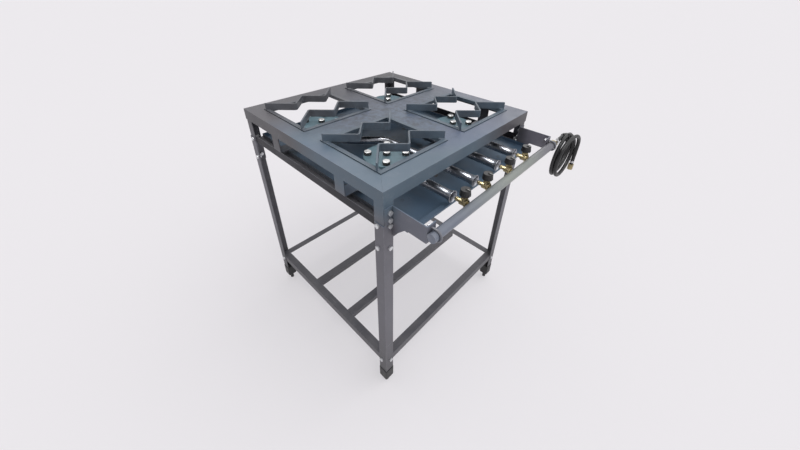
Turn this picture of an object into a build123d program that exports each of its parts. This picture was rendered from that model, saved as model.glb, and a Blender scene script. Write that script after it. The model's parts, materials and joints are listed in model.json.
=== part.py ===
from build123d import *
import os

# Four-burner open-frame gas stove on angle legs, in millimetres.
# +Z is up, the gas manifold side faces -Y, and the origin is on the floor
# under the middle of the table top.

# Table top
WIDTH = 750.0
DEPTH = 750.0
TOP_Z = 920.0
SHEET = 2.0
LIP_H = 40.0
SIDE_W = 49.0
END_W = 60.0
CROSS_W = 84.0
LEDGE_W = 12.0
LEDGE_DROP = 10.0

# Legs, corner posts and feet
LEG_FLANGE = 35.0
LEG_TOP_DROP = 108.0
LEG_BOTTOM = 75.0
POST_LENGTH = 218.0
FOOT_TOP = 90.0
FOOT_WALL = 2.5
FOOT_ROUND = 6.0
FOOT_EDGE = 5.0
FOOT_STUD_H = 34.0
FOOT_STUD_D = 16.0
FOOT_STUD_EDGE = 2.0

# Lower frame and shelf bars
RAIL_Z = 142.0
RAIL_SIZE = 30.0
SHELF_BAR_W = 35.0
SHELF_BAR_H = 20.0
SHELF_BAR_Y = (97.0, -127.0)

# Tray runners and drip tray
RUNNER_DROP = 126.0
RUNNER_H = 28.0
RUNNER_W = 50.0
TRAY_SHEET = 1.0
TRAY_H = 14.0
TRAY_GAP = 4.0
TRAY_FRONT = 45.0
TRAY_REAR_GAP = 10.0
TRAY_LIP = 14.0
TRAY_LIP_DROP = 7.0

# Burner carrier bars
BAR_W = 44.0
BAR_T = 3.0
BAR_TOP_GAP = 13.0
BAR_BEND = 5.0
BAR_AHEAD = 15.0

# Burner castings and their jets
BURNER_D = 150.0
BURNER_H = 43.0
BURNER_RIM_H = 17.0
BURNER_FOOT_D = 64.0
BURNER_WALL = 5.0
BURNER_FLOOR = 6.0
BURNER_EDGE = 2.0
BURNER_IN = 9.0
NECK_WALL = 4.0
NECK_REACH = 95.0
NECK_BAR_GAP = 1.0
JET_D = 24.0
JET_H = 12.0
JET_SPIGOT_D = 14.0
JET_RING_R = 60.0
JET_SLOTS = 6
JET_SLOT_W = 2.0
JET_SLOT_DEEP = 3.0
JET_EDGE = 1.5

# Mixing tubes
TUBE_D = 28.0
TUBE_WALL = 1.5
TUBE_INSERT = 20.0
TUBE_BEND_R = 60.0
MOUTH_D = 37.0
MOUTH_LENGTH = 22.0
MOUTH_GAP = 6.0
REAR_TUBE_X = 64.0
REAR_BEND_AHEAD = 38.5

# Manifold pipe and its brackets
PIPE_D = 26.7
PIPE_WALL = 2.6
PIPE_OVERHANG = 0.0
MANIFOLD_REACH = 129.0
BRACKET_T = 3.0
BRACKET_IN = 30.0
BRACKET_H = 52.0
BRACKET_EDGE = 2.0
BRACKET_GUSSET_DROP = 46.0
BRACKET_GUSSET_REACH = 48.0
BRACKET_TAB_W = 33.0
U_BOLT_D = 6.0
U_BOLT_AF = 10.0
U_BOLT_NUT_H = 5.0
U_BOLT_IN = 17.0
U_BOLT_TAIL = 26.0

# Taps, injectors and knobs
TAP_SPIGOT_D = 12.0
TAP_BODY_D = 20.0
TAP_BODY_BACK = 2.5
TAP_BODY_L = 22.0
TAP_TOWER_D = 16.0
TAP_TOWER_H = 24.0
TAP_OUTLET_D = 12.0
TAP_OUTLET_L = 8.0
TAP_BORE_DEEP = 16.0
INJECTOR_AF = 11.0
INJECTOR_L = 7.0
INJECTOR_TIP_D = 7.0
INJECTOR_TIP_L = 4.0
INJECTOR_TAPER = 12.0
SPINDLE_D = 6.0
SPINDLE_DEEP = 13.0
KNOB_D = 32.0
KNOB_TOP_D = 27.0
KNOB_H = 18.0
KNOB_GAP = 1.5
KNOB_FLUTES = 12
KNOB_FLUTE_D = 4.0
KNOB_POINTER_W = 4.0
KNOB_POINTER_H = 2.0

# Grates
GRATE_GAP = 1.5
GRATE_RING_W = 14.0
GRATE_RING_H = 13.0
POT_BAR_T = 5.0
POT_BAR_H = 25.0
POT_BAR_SPREAD = 62.6
POT_BAR_NEAR = 42.0
POT_BAR_BEND = 7.0

# Bolts
BOLT_D = 8.0
BOLT_AF = 13.0
BOLT_HEAD_H = 5.3
NUT_H = 6.5
BOLT_TAIL = 2.0
BOLT_IN = 22.0
LEG_BOLT_DOWN = (8.0, 87.0)
RAIL_BOLT_UP = 11.0
BRACKET_BOLT_PITCH = 24.0
BRACKET_BOLT_UP = 11.0

# Gas hose, its coil and its fittings
HOSE_D = 14.0
HOSE_BORE = 9.0
BARB_L = 26.0
NIPPLE_AF = 24.0
NIPPLE_HEX_L = 10.0
NIPPLE_SPIGOT_L = 14.0
COIL_R = 75.0
COIL_BUNDLE_D = 28.0
HOSE_LEAD_L = 92.0
HOSE_TAIL_L = 62.0
TIE_T = 1.5
TIE_W = 12.0
TIE_SLACK = 0.6
HOSE_END_AF = 19.0
HOSE_END_L = 24.0
HOSE_END_BORE = 11.5
HOSE_END_BORE_DEEP = 14.0

# Clearances
RUN_CLEAR = 0.05
BOLT_CLEAR = 0.1
CURVE_GAP = 0.3

# Derived places
half_w = WIDTH / 2
half_d = DEPTH / 2
half_cross = CROSS_W / 2
opening_x = half_w - SIDE_W - half_cross
opening_y = half_d - END_W - half_cross
grate_x = half_cross + opening_x / 2
grate_y = half_cross + opening_y / 2
burner_x = grate_x - BURNER_IN
burner_y = grate_y
bar_y = burner_y + BAR_AHEAD
inner_w = half_w - SHEET
inner_d = half_d - SHEET
sleeve_w = inner_w - SHEET
post_edge = inner_w - LEG_FLANGE
leg_top = TOP_Z - LEG_TOP_DROP
post_bottom = TOP_Z - SHEET - POST_LENGTH
leg_bolt_z = [leg_top - down for down in LEG_BOLT_DOWN]
rail_bolt_z = RAIL_Z + RAIL_BOLT_UP
bracket_bolt_z = [leg_top + BRACKET_BOLT_UP + step * BRACKET_BOLT_PITCH for step in (0, 1)]
bolt_x = half_w - BOLT_IN
bolt_y = half_d - BOLT_IN
hole_deep = BOLT_IN - BOLT_D
runner_z = TOP_Z - RUNNER_DROP
bar_z = runner_z + RUNNER_H
seat_z = bar_z + BAR_T
tube_r = TUBE_D / 2
feed_z = seat_z + tube_r + CURVE_GAP
pipe_r = PIPE_D / 2
ledge_z = TOP_Z - LEDGE_DROP
bolt_hole_r = BOLT_D / 2 + BOLT_CLEAR
burner_top = seat_z + BURNER_H
rail_top = RAIL_Z + RAIL_SIZE
tray_z = runner_z + SHEET
manifold_y = -half_d - MANIFOLD_REACH
bracket_x = half_w - BRACKET_IN
pipe_half = bracket_x + PIPE_OVERHANG
tab_y = manifold_y + pipe_r + CURVE_GAP
tap_body_y = manifold_y + pipe_r + TAP_BODY_BACK
injector_y = tap_body_y + TAP_BODY_L + TAP_OUTLET_L
mouth_y = injector_y + INJECTOR_L + INJECTOR_TIP_L + MOUTH_GAP
tap_y = tap_body_y + TAP_BODY_L / 2
tap_places = (
    ("front_left", -burner_x),
    ("rear_left", -REAR_TUBE_X),
    ("rear_right", REAR_TUBE_X),
    ("front_right", burner_x),
)
corner_mirrors = (
    ("front_left", ()),
    ("front_right", (Plane.YZ,)),
    ("rear_left", (Plane.XZ,)),
    ("rear_right", (Plane.YZ, Plane.XZ)),
)
burner_places = (
    ("front_left", -1, -1),
    ("front_right", 1, -1),
    ("rear_left", -1, 1),
    ("rear_right", 1, 1),
)


def save(piece, name):
    """Label a finished piece and write it to its own file."""
    piece.label = name
    export_step(piece, f"parts/{name}.step")


def save_mirrored(piece, name, planes):
    """Write a piece carried to another corner or side by mirror planes."""
    for plane in planes:
        piece = mirror(piece, about=plane)
    save(piece, name)


os.makedirs("parts", exist_ok=True)

# Top channels: one folded strip each, with an outer lip, a flat top and a
# stepped ledge that the grates rest on, mitred at the table's corners

with BuildPart() as front_channel:
    with BuildSketch(Plane.YZ):
        with BuildLine():
            Polyline(
                (-half_d, TOP_Z - LIP_H),
                (-half_d, TOP_Z),
                (-half_d + END_W, TOP_Z),
                (-half_d + END_W, ledge_z),
                (-half_d + END_W + LEDGE_W, ledge_z),
            )
            offset(amount=SHEET, kind=Kind.INTERSECTION, side=Side.RIGHT)
        make_face()
    extrude(amount=half_w, both=True)
    with BuildSketch():
        Polygon(
            (-half_w, -half_d),
            (half_w, -half_d),
            (half_w - SIDE_W, -half_d + END_W),
            (-half_w + SIDE_W, -half_d + END_W),
            align=None,
        )
        with Locations((-grate_x, -half_d + END_W), (grate_x, -half_d + END_W)):
            Trapezoid(opening_x, LEDGE_W, 45, align=(Align.CENTER, Align.MIN))
    extrude(amount=TOP_Z, mode=Mode.INTERSECT)

with BuildPart() as left_channel:
    with BuildSketch(Plane.XZ):
        with BuildLine():
            Polyline(
                (-half_w, TOP_Z - LIP_H),
                (-half_w, TOP_Z),
                (-half_w + SIDE_W, TOP_Z),
                (-half_w + SIDE_W, ledge_z),
                (-half_w + SIDE_W + LEDGE_W, ledge_z),
            )
            offset(amount=SHEET, kind=Kind.INTERSECTION, side=Side.RIGHT)
        make_face()
    extrude(amount=half_d, both=True)
    with BuildSketch():
        Polygon(
            (-half_w, -half_d),
            (-half_w + SIDE_W, -half_d + END_W),
            (-half_w + SIDE_W, half_d - END_W),
            (-half_w, half_d),
            align=None,
        )
        with Locations((-half_w + SIDE_W, -grate_y), (-half_w + SIDE_W, grate_y)):
            Trapezoid(opening_y, LEDGE_W, 45, rotation=-90, align=(Align.CENTER, Align.MIN))
    extrude(amount=TOP_Z, mode=Mode.INTERSECT)

save(front_channel.part, "top_front_channel")
save_mirrored(front_channel.part, "top_rear_channel", (Plane.XZ,))
save(left_channel.part, "top_left_channel")
save_mirrored(left_channel.part, "top_right_channel", (Plane.YZ,))

# Cross members: a full-length bar and two arms, each a folded hat section

with BuildPart() as cross_bar:
    with BuildSketch(Plane.YZ):
        with BuildLine():
            Polyline(
                (-half_cross - LEDGE_W, ledge_z),
                (-half_cross, ledge_z),
                (-half_cross, TOP_Z),
                (half_cross, TOP_Z),
                (half_cross, ledge_z),
                (half_cross + LEDGE_W, ledge_z),
            )
            offset(amount=SHEET, kind=Kind.INTERSECTION, side=Side.RIGHT)
        make_face()
    extrude(amount=half_w - SIDE_W, both=True)
    with BuildSketch():
        Rectangle(WIDTH - 2 * SIDE_W, CROSS_W)
        with Locations((-grate_x, half_cross), (grate_x, half_cross)):
            Trapezoid(opening_x, LEDGE_W, 45, align=(Align.CENTER, Align.MIN))
        with Locations((-grate_x, -half_cross), (grate_x, -half_cross)):
            Trapezoid(opening_x, LEDGE_W, 45, rotation=180, align=(Align.CENTER, Align.MIN))
    extrude(amount=TOP_Z, mode=Mode.INTERSECT)

with BuildPart() as front_arm:
    with BuildSketch(Plane.XZ.offset(half_cross)):
        with BuildLine():
            Polyline(
                (-half_cross - LEDGE_W, ledge_z),
                (-half_cross, ledge_z),
                (-half_cross, TOP_Z),
                (half_cross, TOP_Z),
                (half_cross, ledge_z),
                (half_cross + LEDGE_W, ledge_z),
            )
            offset(amount=SHEET, kind=Kind.INTERSECTION, side=Side.RIGHT)
        make_face()
    extrude(amount=opening_y)
    with BuildSketch():
        with Locations((0, -grate_y)):
            Rectangle(CROSS_W, opening_y)
        with Locations((half_cross, -grate_y)):
            Trapezoid(opening_y, LEDGE_W, 45, rotation=-90, align=(Align.CENTER, Align.MIN))
        with Locations((-half_cross, -grate_y)):
            Trapezoid(opening_y, LEDGE_W, 45, rotation=90, align=(Align.CENTER, Align.MIN))
    extrude(amount=TOP_Z, mode=Mode.INTERSECT)

save(cross_bar.part, "cross_bar")
save(front_arm.part, "cross_arm_front")
save_mirrored(front_arm.part, "cross_arm_rear", (Plane.XZ,))

# Corner posts under the table top and the legs bolted outside them

with BuildPart() as corner_post:
    with BuildSketch(Plane.XY.offset(post_bottom)):
        with BuildLine():
            Polyline(
                (-inner_w, -inner_d + LEG_FLANGE),
                (-inner_w, -inner_d),
                (-inner_w + LEG_FLANGE, -inner_d),
            )
            offset(amount=SHEET, kind=Kind.INTERSECTION, side=Side.LEFT)
        make_face()
    extrude(amount=POST_LENGTH)
    with BuildSketch(Plane.YZ.offset(-half_w)):
        with Locations(*[(-bolt_y, z) for z in leg_bolt_z]):
            Circle(bolt_hole_r)
    extrude(amount=hole_deep, mode=Mode.SUBTRACT)

with BuildPart() as front_post:
    add(corner_post.part)
    with BuildSketch(Plane.XZ.offset(half_d)):
        with Locations(*[(-bolt_x, z) for z in leg_bolt_z]):
            Circle(bolt_hole_r)
        with Locations(*[(-bolt_x, z) for z in bracket_bolt_z]):
            Circle(bolt_hole_r)
    extrude(amount=-hole_deep, mode=Mode.SUBTRACT)

with BuildPart() as rear_post:
    mirror(corner_post.part, about=Plane.XZ)
    with BuildSketch(Plane.XZ.offset(-half_d)):
        with Locations(*[(-bolt_x, z) for z in leg_bolt_z]):
            Circle(bolt_hole_r)
    extrude(amount=hole_deep, mode=Mode.SUBTRACT)

save(front_post.part, "corner_post_front_left")
save_mirrored(front_post.part, "corner_post_front_right", (Plane.YZ,))
save(rear_post.part, "corner_post_rear_left")
save_mirrored(rear_post.part, "corner_post_rear_right", (Plane.YZ,))

with BuildPart() as leg:
    with BuildSketch(Plane.XY.offset(LEG_BOTTOM)):
        with BuildLine():
            Polyline(
                (-half_w, -half_d + LEG_FLANGE),
                (-half_w, -half_d),
                (-half_w + LEG_FLANGE, -half_d),
            )
            offset(amount=SHEET, kind=Kind.INTERSECTION, side=Side.LEFT)
        make_face()
    extrude(amount=leg_top - LEG_BOTTOM)
    with BuildSketch(Plane.YZ.offset(-half_w)):
        with Locations(*[(-bolt_y, z) for z in (*leg_bolt_z, rail_bolt_z)]):
            Circle(bolt_hole_r)
    extrude(amount=hole_deep, mode=Mode.SUBTRACT)
    with BuildSketch(Plane.XZ.offset(half_d)):
        with Locations(*[(-bolt_x, z) for z in (*leg_bolt_z, rail_bolt_z)]):
            Circle(bolt_hole_r)
    extrude(amount=-hole_deep, mode=Mode.SUBTRACT)

for corner, planes in corner_mirrors:
    save_mirrored(leg.part, f"leg_{corner}", planes)

# Moulded feet: a block slotted for the leg's end, with a round stud below

foot_size = LEG_FLANGE + 2 * FOOT_WALL
foot_place = (-half_w + LEG_FLANGE / 2, -half_d + LEG_FLANGE / 2)

with BuildPart() as feet:
    with BuildSketch(Plane.XY.offset(FOOT_STUD_H)):
        with Locations(foot_place):
            RectangleRounded(foot_size, foot_size, FOOT_ROUND)
    extrude(amount=FOOT_TOP - FOOT_STUD_H)
    fillet(feet.edges().group_by(Axis.Z)[0], radius=FOOT_EDGE)
    with BuildSketch(Plane.XY.offset(LEG_BOTTOM)):
        with BuildLine():
            Polyline(
                (-half_w, -half_d + LEG_FLANGE),
                (-half_w, -half_d),
                (-half_w + LEG_FLANGE, -half_d),
            )
            offset(amount=SHEET, kind=Kind.INTERSECTION, side=Side.LEFT)
        make_face()
    extrude(amount=FOOT_TOP - LEG_BOTTOM, mode=Mode.SUBTRACT)
    with BuildSketch(Plane.XY.offset(FOOT_STUD_H)):
        with Locations(foot_place):
            Circle(FOOT_STUD_D / 2)
    extrude(amount=-FOOT_STUD_H)
    chamfer(feet.edges().group_by(Axis.Z)[0], length=FOOT_STUD_EDGE)
    mirror(about=Plane.YZ)
    mirror(about=Plane.XZ)

save(feet.part, "feet")

# Lower rails: angles bolted inside the legs, coped where their flanges meet

with BuildPart() as front_rail:
    with BuildSketch(Plane.YZ):
        with BuildLine():
            Polyline(
                (-inner_d, RAIL_Z),
                (-inner_d, rail_top),
                (-inner_d + RAIL_SIZE, rail_top),
            )
            offset(amount=SHEET, kind=Kind.INTERSECTION, side=Side.RIGHT)
        make_face()
    extrude(amount=inner_w, both=True)
    with BuildSketch(Plane.XY.offset(RAIL_Z)):
        with Locations((0, -inner_d)):
            Rectangle(2 * inner_w, SHEET, align=(Align.CENTER, Align.MIN))
            Rectangle(2 * sleeve_w, RAIL_SIZE, align=(Align.CENTER, Align.MIN))
    extrude(amount=RAIL_SIZE, mode=Mode.INTERSECT)
    with BuildSketch(Plane.XZ.offset(half_d)):
        with Locations(
            (-bolt_x, rail_bolt_z),
            (bolt_x, rail_bolt_z),
        ):
            Circle(bolt_hole_r)
    extrude(amount=-hole_deep, mode=Mode.SUBTRACT)

with BuildPart() as left_rail:
    with BuildSketch(Plane.XZ):
        with BuildLine():
            Polyline(
                (-inner_w, RAIL_Z),
                (-inner_w, rail_top),
                (-inner_w + RAIL_SIZE, rail_top),
            )
            offset(amount=SHEET, kind=Kind.INTERSECTION, side=Side.RIGHT)
        make_face()
    extrude(amount=inner_d - SHEET, both=True)
    with BuildSketch(Plane.XY.offset(RAIL_Z)):
        with Locations((-inner_w, 0)):
            Rectangle(SHEET, 2 * (inner_d - SHEET), align=(Align.MIN, Align.CENTER))
            Rectangle(RAIL_SIZE, 2 * (inner_d - RAIL_SIZE), align=(Align.MIN, Align.CENTER))
    extrude(amount=RAIL_SIZE, mode=Mode.INTERSECT)
    with BuildSketch(Plane.YZ.offset(-half_w)):
        with Locations(
            (-bolt_y, rail_bolt_z),
            (bolt_y, rail_bolt_z),
        ):
            Circle(bolt_hole_r)
    extrude(amount=hole_deep, mode=Mode.SUBTRACT)

save(front_rail.part, "lower_rail_front")
save_mirrored(front_rail.part, "lower_rail_rear", (Plane.XZ,))
save(left_rail.part, "lower_rail_left")
save_mirrored(left_rail.part, "lower_rail_right", (Plane.YZ,))

for bar_name, middle_y in zip(("shelf_bar_rear", "shelf_bar_front"), SHELF_BAR_Y):
    with BuildPart() as shelf_bar:
        with BuildSketch(Plane.YZ):
            with BuildLine():
                Polyline(
                    (middle_y - SHELF_BAR_W / 2, rail_top - SHELF_BAR_H),
                    (middle_y - SHELF_BAR_W / 2, rail_top),
                    (middle_y + SHELF_BAR_W / 2, rail_top),
                    (middle_y + SHELF_BAR_W / 2, rail_top - SHELF_BAR_H),
                )
                offset(amount=SHEET, kind=Kind.INTERSECTION, side=Side.RIGHT)
            make_face()
        extrude(amount=inner_w - RAIL_SIZE, both=True)
    save(shelf_bar.part, bar_name)

# Tray runners inside the posts, and the drip tray that slides on them

with BuildPart() as left_runner:
    with BuildSketch(Plane.XZ):
        with BuildLine():
            Polyline(
                (-sleeve_w, runner_z + RUNNER_H),
                (-sleeve_w, runner_z),
                (-sleeve_w + RUNNER_W, runner_z),
            )
            offset(amount=SHEET, kind=Kind.INTERSECTION, side=Side.LEFT)
        make_face()
    extrude(amount=inner_d - SHEET, both=True)
    with BuildSketch(Plane.YZ.offset(-half_w)):
        with Locations((-bolt_y, leg_bolt_z[0]), (bolt_y, leg_bolt_z[0])):
            Circle(bolt_hole_r)
    extrude(amount=hole_deep, mode=Mode.SUBTRACT)

save(left_runner.part, "tray_runner_left")
save_mirrored(left_runner.part, "tray_runner_right", (Plane.YZ,))

tray_half = post_edge - TRAY_GAP
tray_front = -half_d - TRAY_FRONT
tray_rear = inner_d - TRAY_REAR_GAP

with BuildPart() as drip_tray:
    with BuildSketch(Plane.XY.offset(tray_z)):
        with Locations((0, (tray_front + tray_rear) / 2)):
            Rectangle(2 * tray_half, tray_rear - tray_front)
    extrude(amount=TRAY_H)
    offset(amount=-TRAY_SHEET, openings=drip_tray.faces().sort_by(Axis.Z)[-1], kind=Kind.INTERSECTION)
    with BuildSketch(Plane.YZ):
        with BuildLine():
            Polyline(
                (tray_front, tray_z + TRAY_H),
                (tray_front - TRAY_LIP, tray_z + TRAY_H),
                (tray_front - TRAY_LIP, tray_z + TRAY_H - TRAY_LIP_DROP),
            )
            offset(amount=TRAY_SHEET, kind=Kind.INTERSECTION, side=Side.LEFT)
        make_face()
    extrude(amount=tray_half, both=True)

save(drip_tray.part, "drip_tray")

# Burner carrier bars: flat bars hung from the side lips by turned-up ends

with BuildPart() as front_bar:
    with BuildSketch(Plane.XZ.offset(bar_y)):
        with BuildLine():
            FilletPolyline(
                (-inner_w, TOP_Z - BAR_TOP_GAP),
                (-inner_w, bar_z),
                (inner_w, bar_z),
                (inner_w, TOP_Z - BAR_TOP_GAP),
                radius=BAR_BEND,
            )
            offset(amount=BAR_T, side=Side.LEFT)
        make_face()
    extrude(amount=BAR_W / 2, both=True)
    with BuildSketch(Plane.XY.offset(bar_z)):
        with Locations((-burner_x, -bar_y), (burner_x, -bar_y)):
            Circle(bolt_hole_r)
    extrude(amount=BAR_T, mode=Mode.SUBTRACT)

save(front_bar.part, "burner_bar_front")
save(Pos(0, 2 * burner_y, 0) * front_bar.part, "burner_bar_rear")

# Burner castings: a hollow bowl with a flat top and a socket neck to the front

neck_r = tube_r + RUN_CLEAR + NECK_WALL
neck_length = NECK_REACH - BAR_AHEAD - BAR_W / 2 - NECK_BAR_GAP
burner_axis = Axis((-burner_x, -burner_y, 0), (0, 0, 1))
burner_section = Plane((-burner_x, -burner_y, seat_z), x_dir=(1, 0, 0), z_dir=(0, -1, 0))
neck_section = Plane.XZ.offset(burner_y + NECK_REACH)

with BuildPart() as burner:
    with BuildSketch(burner_section):
        with BuildLine():
            Polyline(
                (0, 0),
                (BURNER_FOOT_D / 2, 0),
                (BURNER_D / 2, BURNER_H - BURNER_RIM_H),
                (BURNER_D / 2, BURNER_H - BURNER_EDGE),
                (BURNER_D / 2 - BURNER_EDGE, BURNER_H),
                (0, BURNER_H),
                close=True,
            )
        make_face()
    revolve(axis=burner_axis)
    with BuildSketch(neck_section):
        with Locations((-burner_x, feed_z)):
            Circle(neck_r)
    extrude(amount=-neck_length)
    with BuildSketch(burner_section):
        with BuildLine():
            Polyline(
                (0, BURNER_FLOOR),
                (BURNER_FOOT_D / 2, BURNER_FLOOR),
                (BURNER_D / 2 - BURNER_WALL, BURNER_H - BURNER_RIM_H + BURNER_WALL / 2),
                (BURNER_D / 2 - BURNER_WALL, BURNER_H - BURNER_WALL),
                (0, BURNER_H - BURNER_WALL),
                close=True,
            )
        make_face()
    revolve(axis=burner_axis, mode=Mode.SUBTRACT)
    with BuildSketch(neck_section):
        with Locations((-burner_x, feed_z)):
            Circle(tube_r + RUN_CLEAR)
    extrude(amount=-TUBE_INSERT, mode=Mode.SUBTRACT)
    with BuildSketch(neck_section):
        with Locations((-burner_x, feed_z)):
            Circle(tube_r - TUBE_WALL)
    extrude(amount=-neck_length, mode=Mode.SUBTRACT)
    with BuildSketch(Plane.XY.offset(seat_z)):
        with Locations((-burner_x, -bar_y)):
            Circle(bolt_hole_r)
    extrude(amount=BURNER_FLOOR, mode=Mode.SUBTRACT)
    with BuildSketch(Plane.XY.offset(burner_top)):
        with Locations((-burner_x, -burner_y)):
            Circle(JET_SPIGOT_D / 2 + RUN_CLEAR)
            with PolarLocations(JET_RING_R, 4, start_angle=45):
                Circle(JET_SPIGOT_D / 2 + RUN_CLEAR)
    extrude(amount=-BURNER_WALL, mode=Mode.SUBTRACT)

for place, side, end in burner_places:
    save(Pos((side + 1) * burner_x, (end + 1) * burner_y, 0) * burner.part, f"burner_{place}")

# Jets: five screwed caps in each burner, with sawn flame slots

with BuildPart() as jet:
    with BuildSketch(Plane.XY.offset(burner_top)):
        Circle(JET_D / 2)
    extrude(amount=JET_H)
    chamfer(jet.edges().group_by(Axis.Z)[-1], length=JET_EDGE)
    with BuildSketch(Plane.XY.offset(burner_top)):
        Circle(JET_SPIGOT_D / 2)
    extrude(amount=-BURNER_WALL)
    with BuildSketch(Plane.XY.offset(burner_top + JET_H - JET_EDGE)):
        with PolarLocations(JET_D / 2, JET_SLOTS):
            Rectangle(2 * JET_SLOT_DEEP, JET_SLOT_W)
    extrude(amount=-JET_H / 2, mode=Mode.SUBTRACT)

with BuildPart() as burner_jets:
    for place, side, end in burner_places:
        with Locations((side * burner_x, end * burner_y)):
            add(jet.part)
            with PolarLocations(JET_RING_R, 4, start_angle=45):
                add(jet.part)

save(burner_jets.part, "burner_jets")

# Mixing tubes with flared mouths: straight to the front burners, and bent
# around the front burners to the rear ones

neck_end = burner_y - NECK_REACH
socket_y = burner_y + NECK_REACH - TUBE_INSERT
rear_bend_y = neck_end - REAR_BEND_AHEAD
flare_y = mouth_y + MOUTH_LENGTH

with BuildPart() as front_tube:
    with BuildSketch(Plane.XY.offset(feed_z)):
        with BuildLine():
            straight = Line((-burner_x - tube_r, -socket_y), (-burner_x - tube_r, flare_y))
            TangentArc(
                (-burner_x - tube_r, flare_y),
                (-burner_x - MOUTH_D / 2, mouth_y),
                tangent=straight % 1,
            )
            offset(amount=TUBE_WALL, side=Side.LEFT)
        make_face()
    revolve(axis=Axis((-burner_x, 0, feed_z), (0, 1, 0)))

with BuildPart() as rear_tube:
    with BuildLine(Plane.XY.offset(feed_z)) as rear_route:
        FilletPolyline(
            (-burner_x, 2 * burner_y - socket_y),
            (-burner_x, rear_bend_y),
            (-REAR_TUBE_X, rear_bend_y - (burner_x - REAR_TUBE_X)),
            (-REAR_TUBE_X, flare_y),
            radius=TUBE_BEND_R,
        )
    with BuildSketch(Plane.XZ.offset(socket_y - 2 * burner_y)):
        with Locations((-burner_x, feed_z)):
            Circle(tube_r)
            Circle(tube_r - TUBE_WALL, mode=Mode.SUBTRACT)
    sweep(path=rear_route.line)
    with BuildSketch(Plane.XY.offset(feed_z)):
        with BuildLine():
            TangentArc(
                (-REAR_TUBE_X - tube_r, flare_y),
                (-REAR_TUBE_X - MOUTH_D / 2, mouth_y),
                tangent=(0, -1),
            )
            offset(amount=TUBE_WALL, side=Side.LEFT)
        make_face()
    revolve(axis=Axis((-REAR_TUBE_X, 0, feed_z), (0, 1, 0)))

save(front_tube.part, "mixing_tube_front_left")
save_mirrored(front_tube.part, "mixing_tube_front_right", (Plane.YZ,))
save(rear_tube.part, "mixing_tube_rear_left")
save_mirrored(rear_tube.part, "mixing_tube_rear_right", (Plane.YZ,))

# Manifold: a pipe closed at its left end, drilled for the four taps

with BuildPart() as manifold:
    with BuildSketch(Plane.YZ.offset(-pipe_half)):
        with Locations((manifold_y, feed_z)):
            Circle(pipe_r)
    extrude(amount=2 * pipe_half)
    with BuildSketch(Plane.YZ.offset(-pipe_half + PIPE_WALL)):
        with Locations((manifold_y, feed_z)):
            Circle(pipe_r - PIPE_WALL)
    extrude(amount=2 * pipe_half - PIPE_WALL, mode=Mode.SUBTRACT)
    with BuildSketch(Plane.XZ.offset(-manifold_y)):
        with Locations(*[(x, feed_z) for place, x in tap_places]):
            Circle(TAP_SPIGOT_D / 2 + RUN_CLEAR)
    extrude(amount=-PIPE_D, mode=Mode.SUBTRACT)

save(manifold.part, "manifold_pipe")

# Brackets: bent plates bolted to the front posts, with a gusset at the leg
# and a tab that the pipe's U-bolt passes through

bracket_top = feed_z + BRACKET_H / 2
bracket_low = feed_z - BRACKET_H / 2
bracket_face = half_d - SHEET + BRACKET_T
u_bolt_r = pipe_r + CURVE_GAP + U_BOLT_D / 2
u_bolt_x = bracket_x - U_BOLT_IN

with BuildPart() as bracket:
    with BuildSketch(Plane.YZ.offset(-bracket_x)):
        with BuildLine():
            Polyline(
                (-bracket_face, bracket_top),
                (tab_y, bracket_top),
                (tab_y, bracket_low),
                (-half_d - BRACKET_GUSSET_REACH, bracket_low),
                (-bracket_face, leg_top - BRACKET_GUSSET_DROP),
                close=True,
            )
        make_face()
    extrude(amount=BRACKET_T)
    with BuildSketch(Plane.XZ.offset(bracket_face)):
        with Locations((-inner_w + BRACKET_EDGE, leg_top)):
            Rectangle(
                inner_w - BRACKET_EDGE - bracket_x + BRACKET_T,
                bracket_top - leg_top,
                align=(Align.MIN, Align.MIN),
            )
        with Locations(*[(-bolt_x, z) for z in bracket_bolt_z]):
            Circle(bolt_hole_r, mode=Mode.SUBTRACT)
    extrude(amount=-BRACKET_T)
    with BuildSketch(Plane.XZ.offset(-tab_y)):
        with Locations((-bracket_x, feed_z)):
            Rectangle(BRACKET_TAB_W, BRACKET_H, align=(Align.MIN, Align.CENTER))
        with Locations((-u_bolt_x, feed_z + u_bolt_r), (-u_bolt_x, feed_z - u_bolt_r)):
            Circle(U_BOLT_D / 2 + BOLT_CLEAR, mode=Mode.SUBTRACT)
    extrude(amount=-BRACKET_T)

save(bracket.part, "manifold_bracket_left")
save_mirrored(bracket.part, "manifold_bracket_right", (Plane.YZ,))

with BuildPart() as u_bolts:
    with BuildLine(Plane.YZ.offset(-u_bolt_x)) as u_route:
        upper = Line(
            (manifold_y + U_BOLT_TAIL, feed_z + u_bolt_r),
            (manifold_y, feed_z + u_bolt_r),
        )
        TangentArc(upper @ 1, (manifold_y, feed_z - u_bolt_r), tangent=upper % 1)
        Line(
            (manifold_y, feed_z - u_bolt_r),
            (manifold_y + U_BOLT_TAIL, feed_z - u_bolt_r),
        )
    with BuildSketch(Plane.XZ.offset(-manifold_y - U_BOLT_TAIL)):
        with Locations((-u_bolt_x, feed_z + u_bolt_r)):
            Circle(U_BOLT_D / 2)
    sweep(path=u_route.line)
    with BuildSketch(Plane.XZ.offset(-tab_y - BRACKET_T)):
        with Locations((-u_bolt_x, feed_z + u_bolt_r), (-u_bolt_x, feed_z - u_bolt_r)):
            RegularPolygon(U_BOLT_AF / 2, 6, major_radius=False)
    extrude(amount=-U_BOLT_NUT_H)
    mirror(about=Plane.YZ)

save(u_bolts.part, "pipe_u_bolts")

# Taps: a body screwed into the pipe, with a tower for the spindle and an
# outlet that carries the injector

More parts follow.
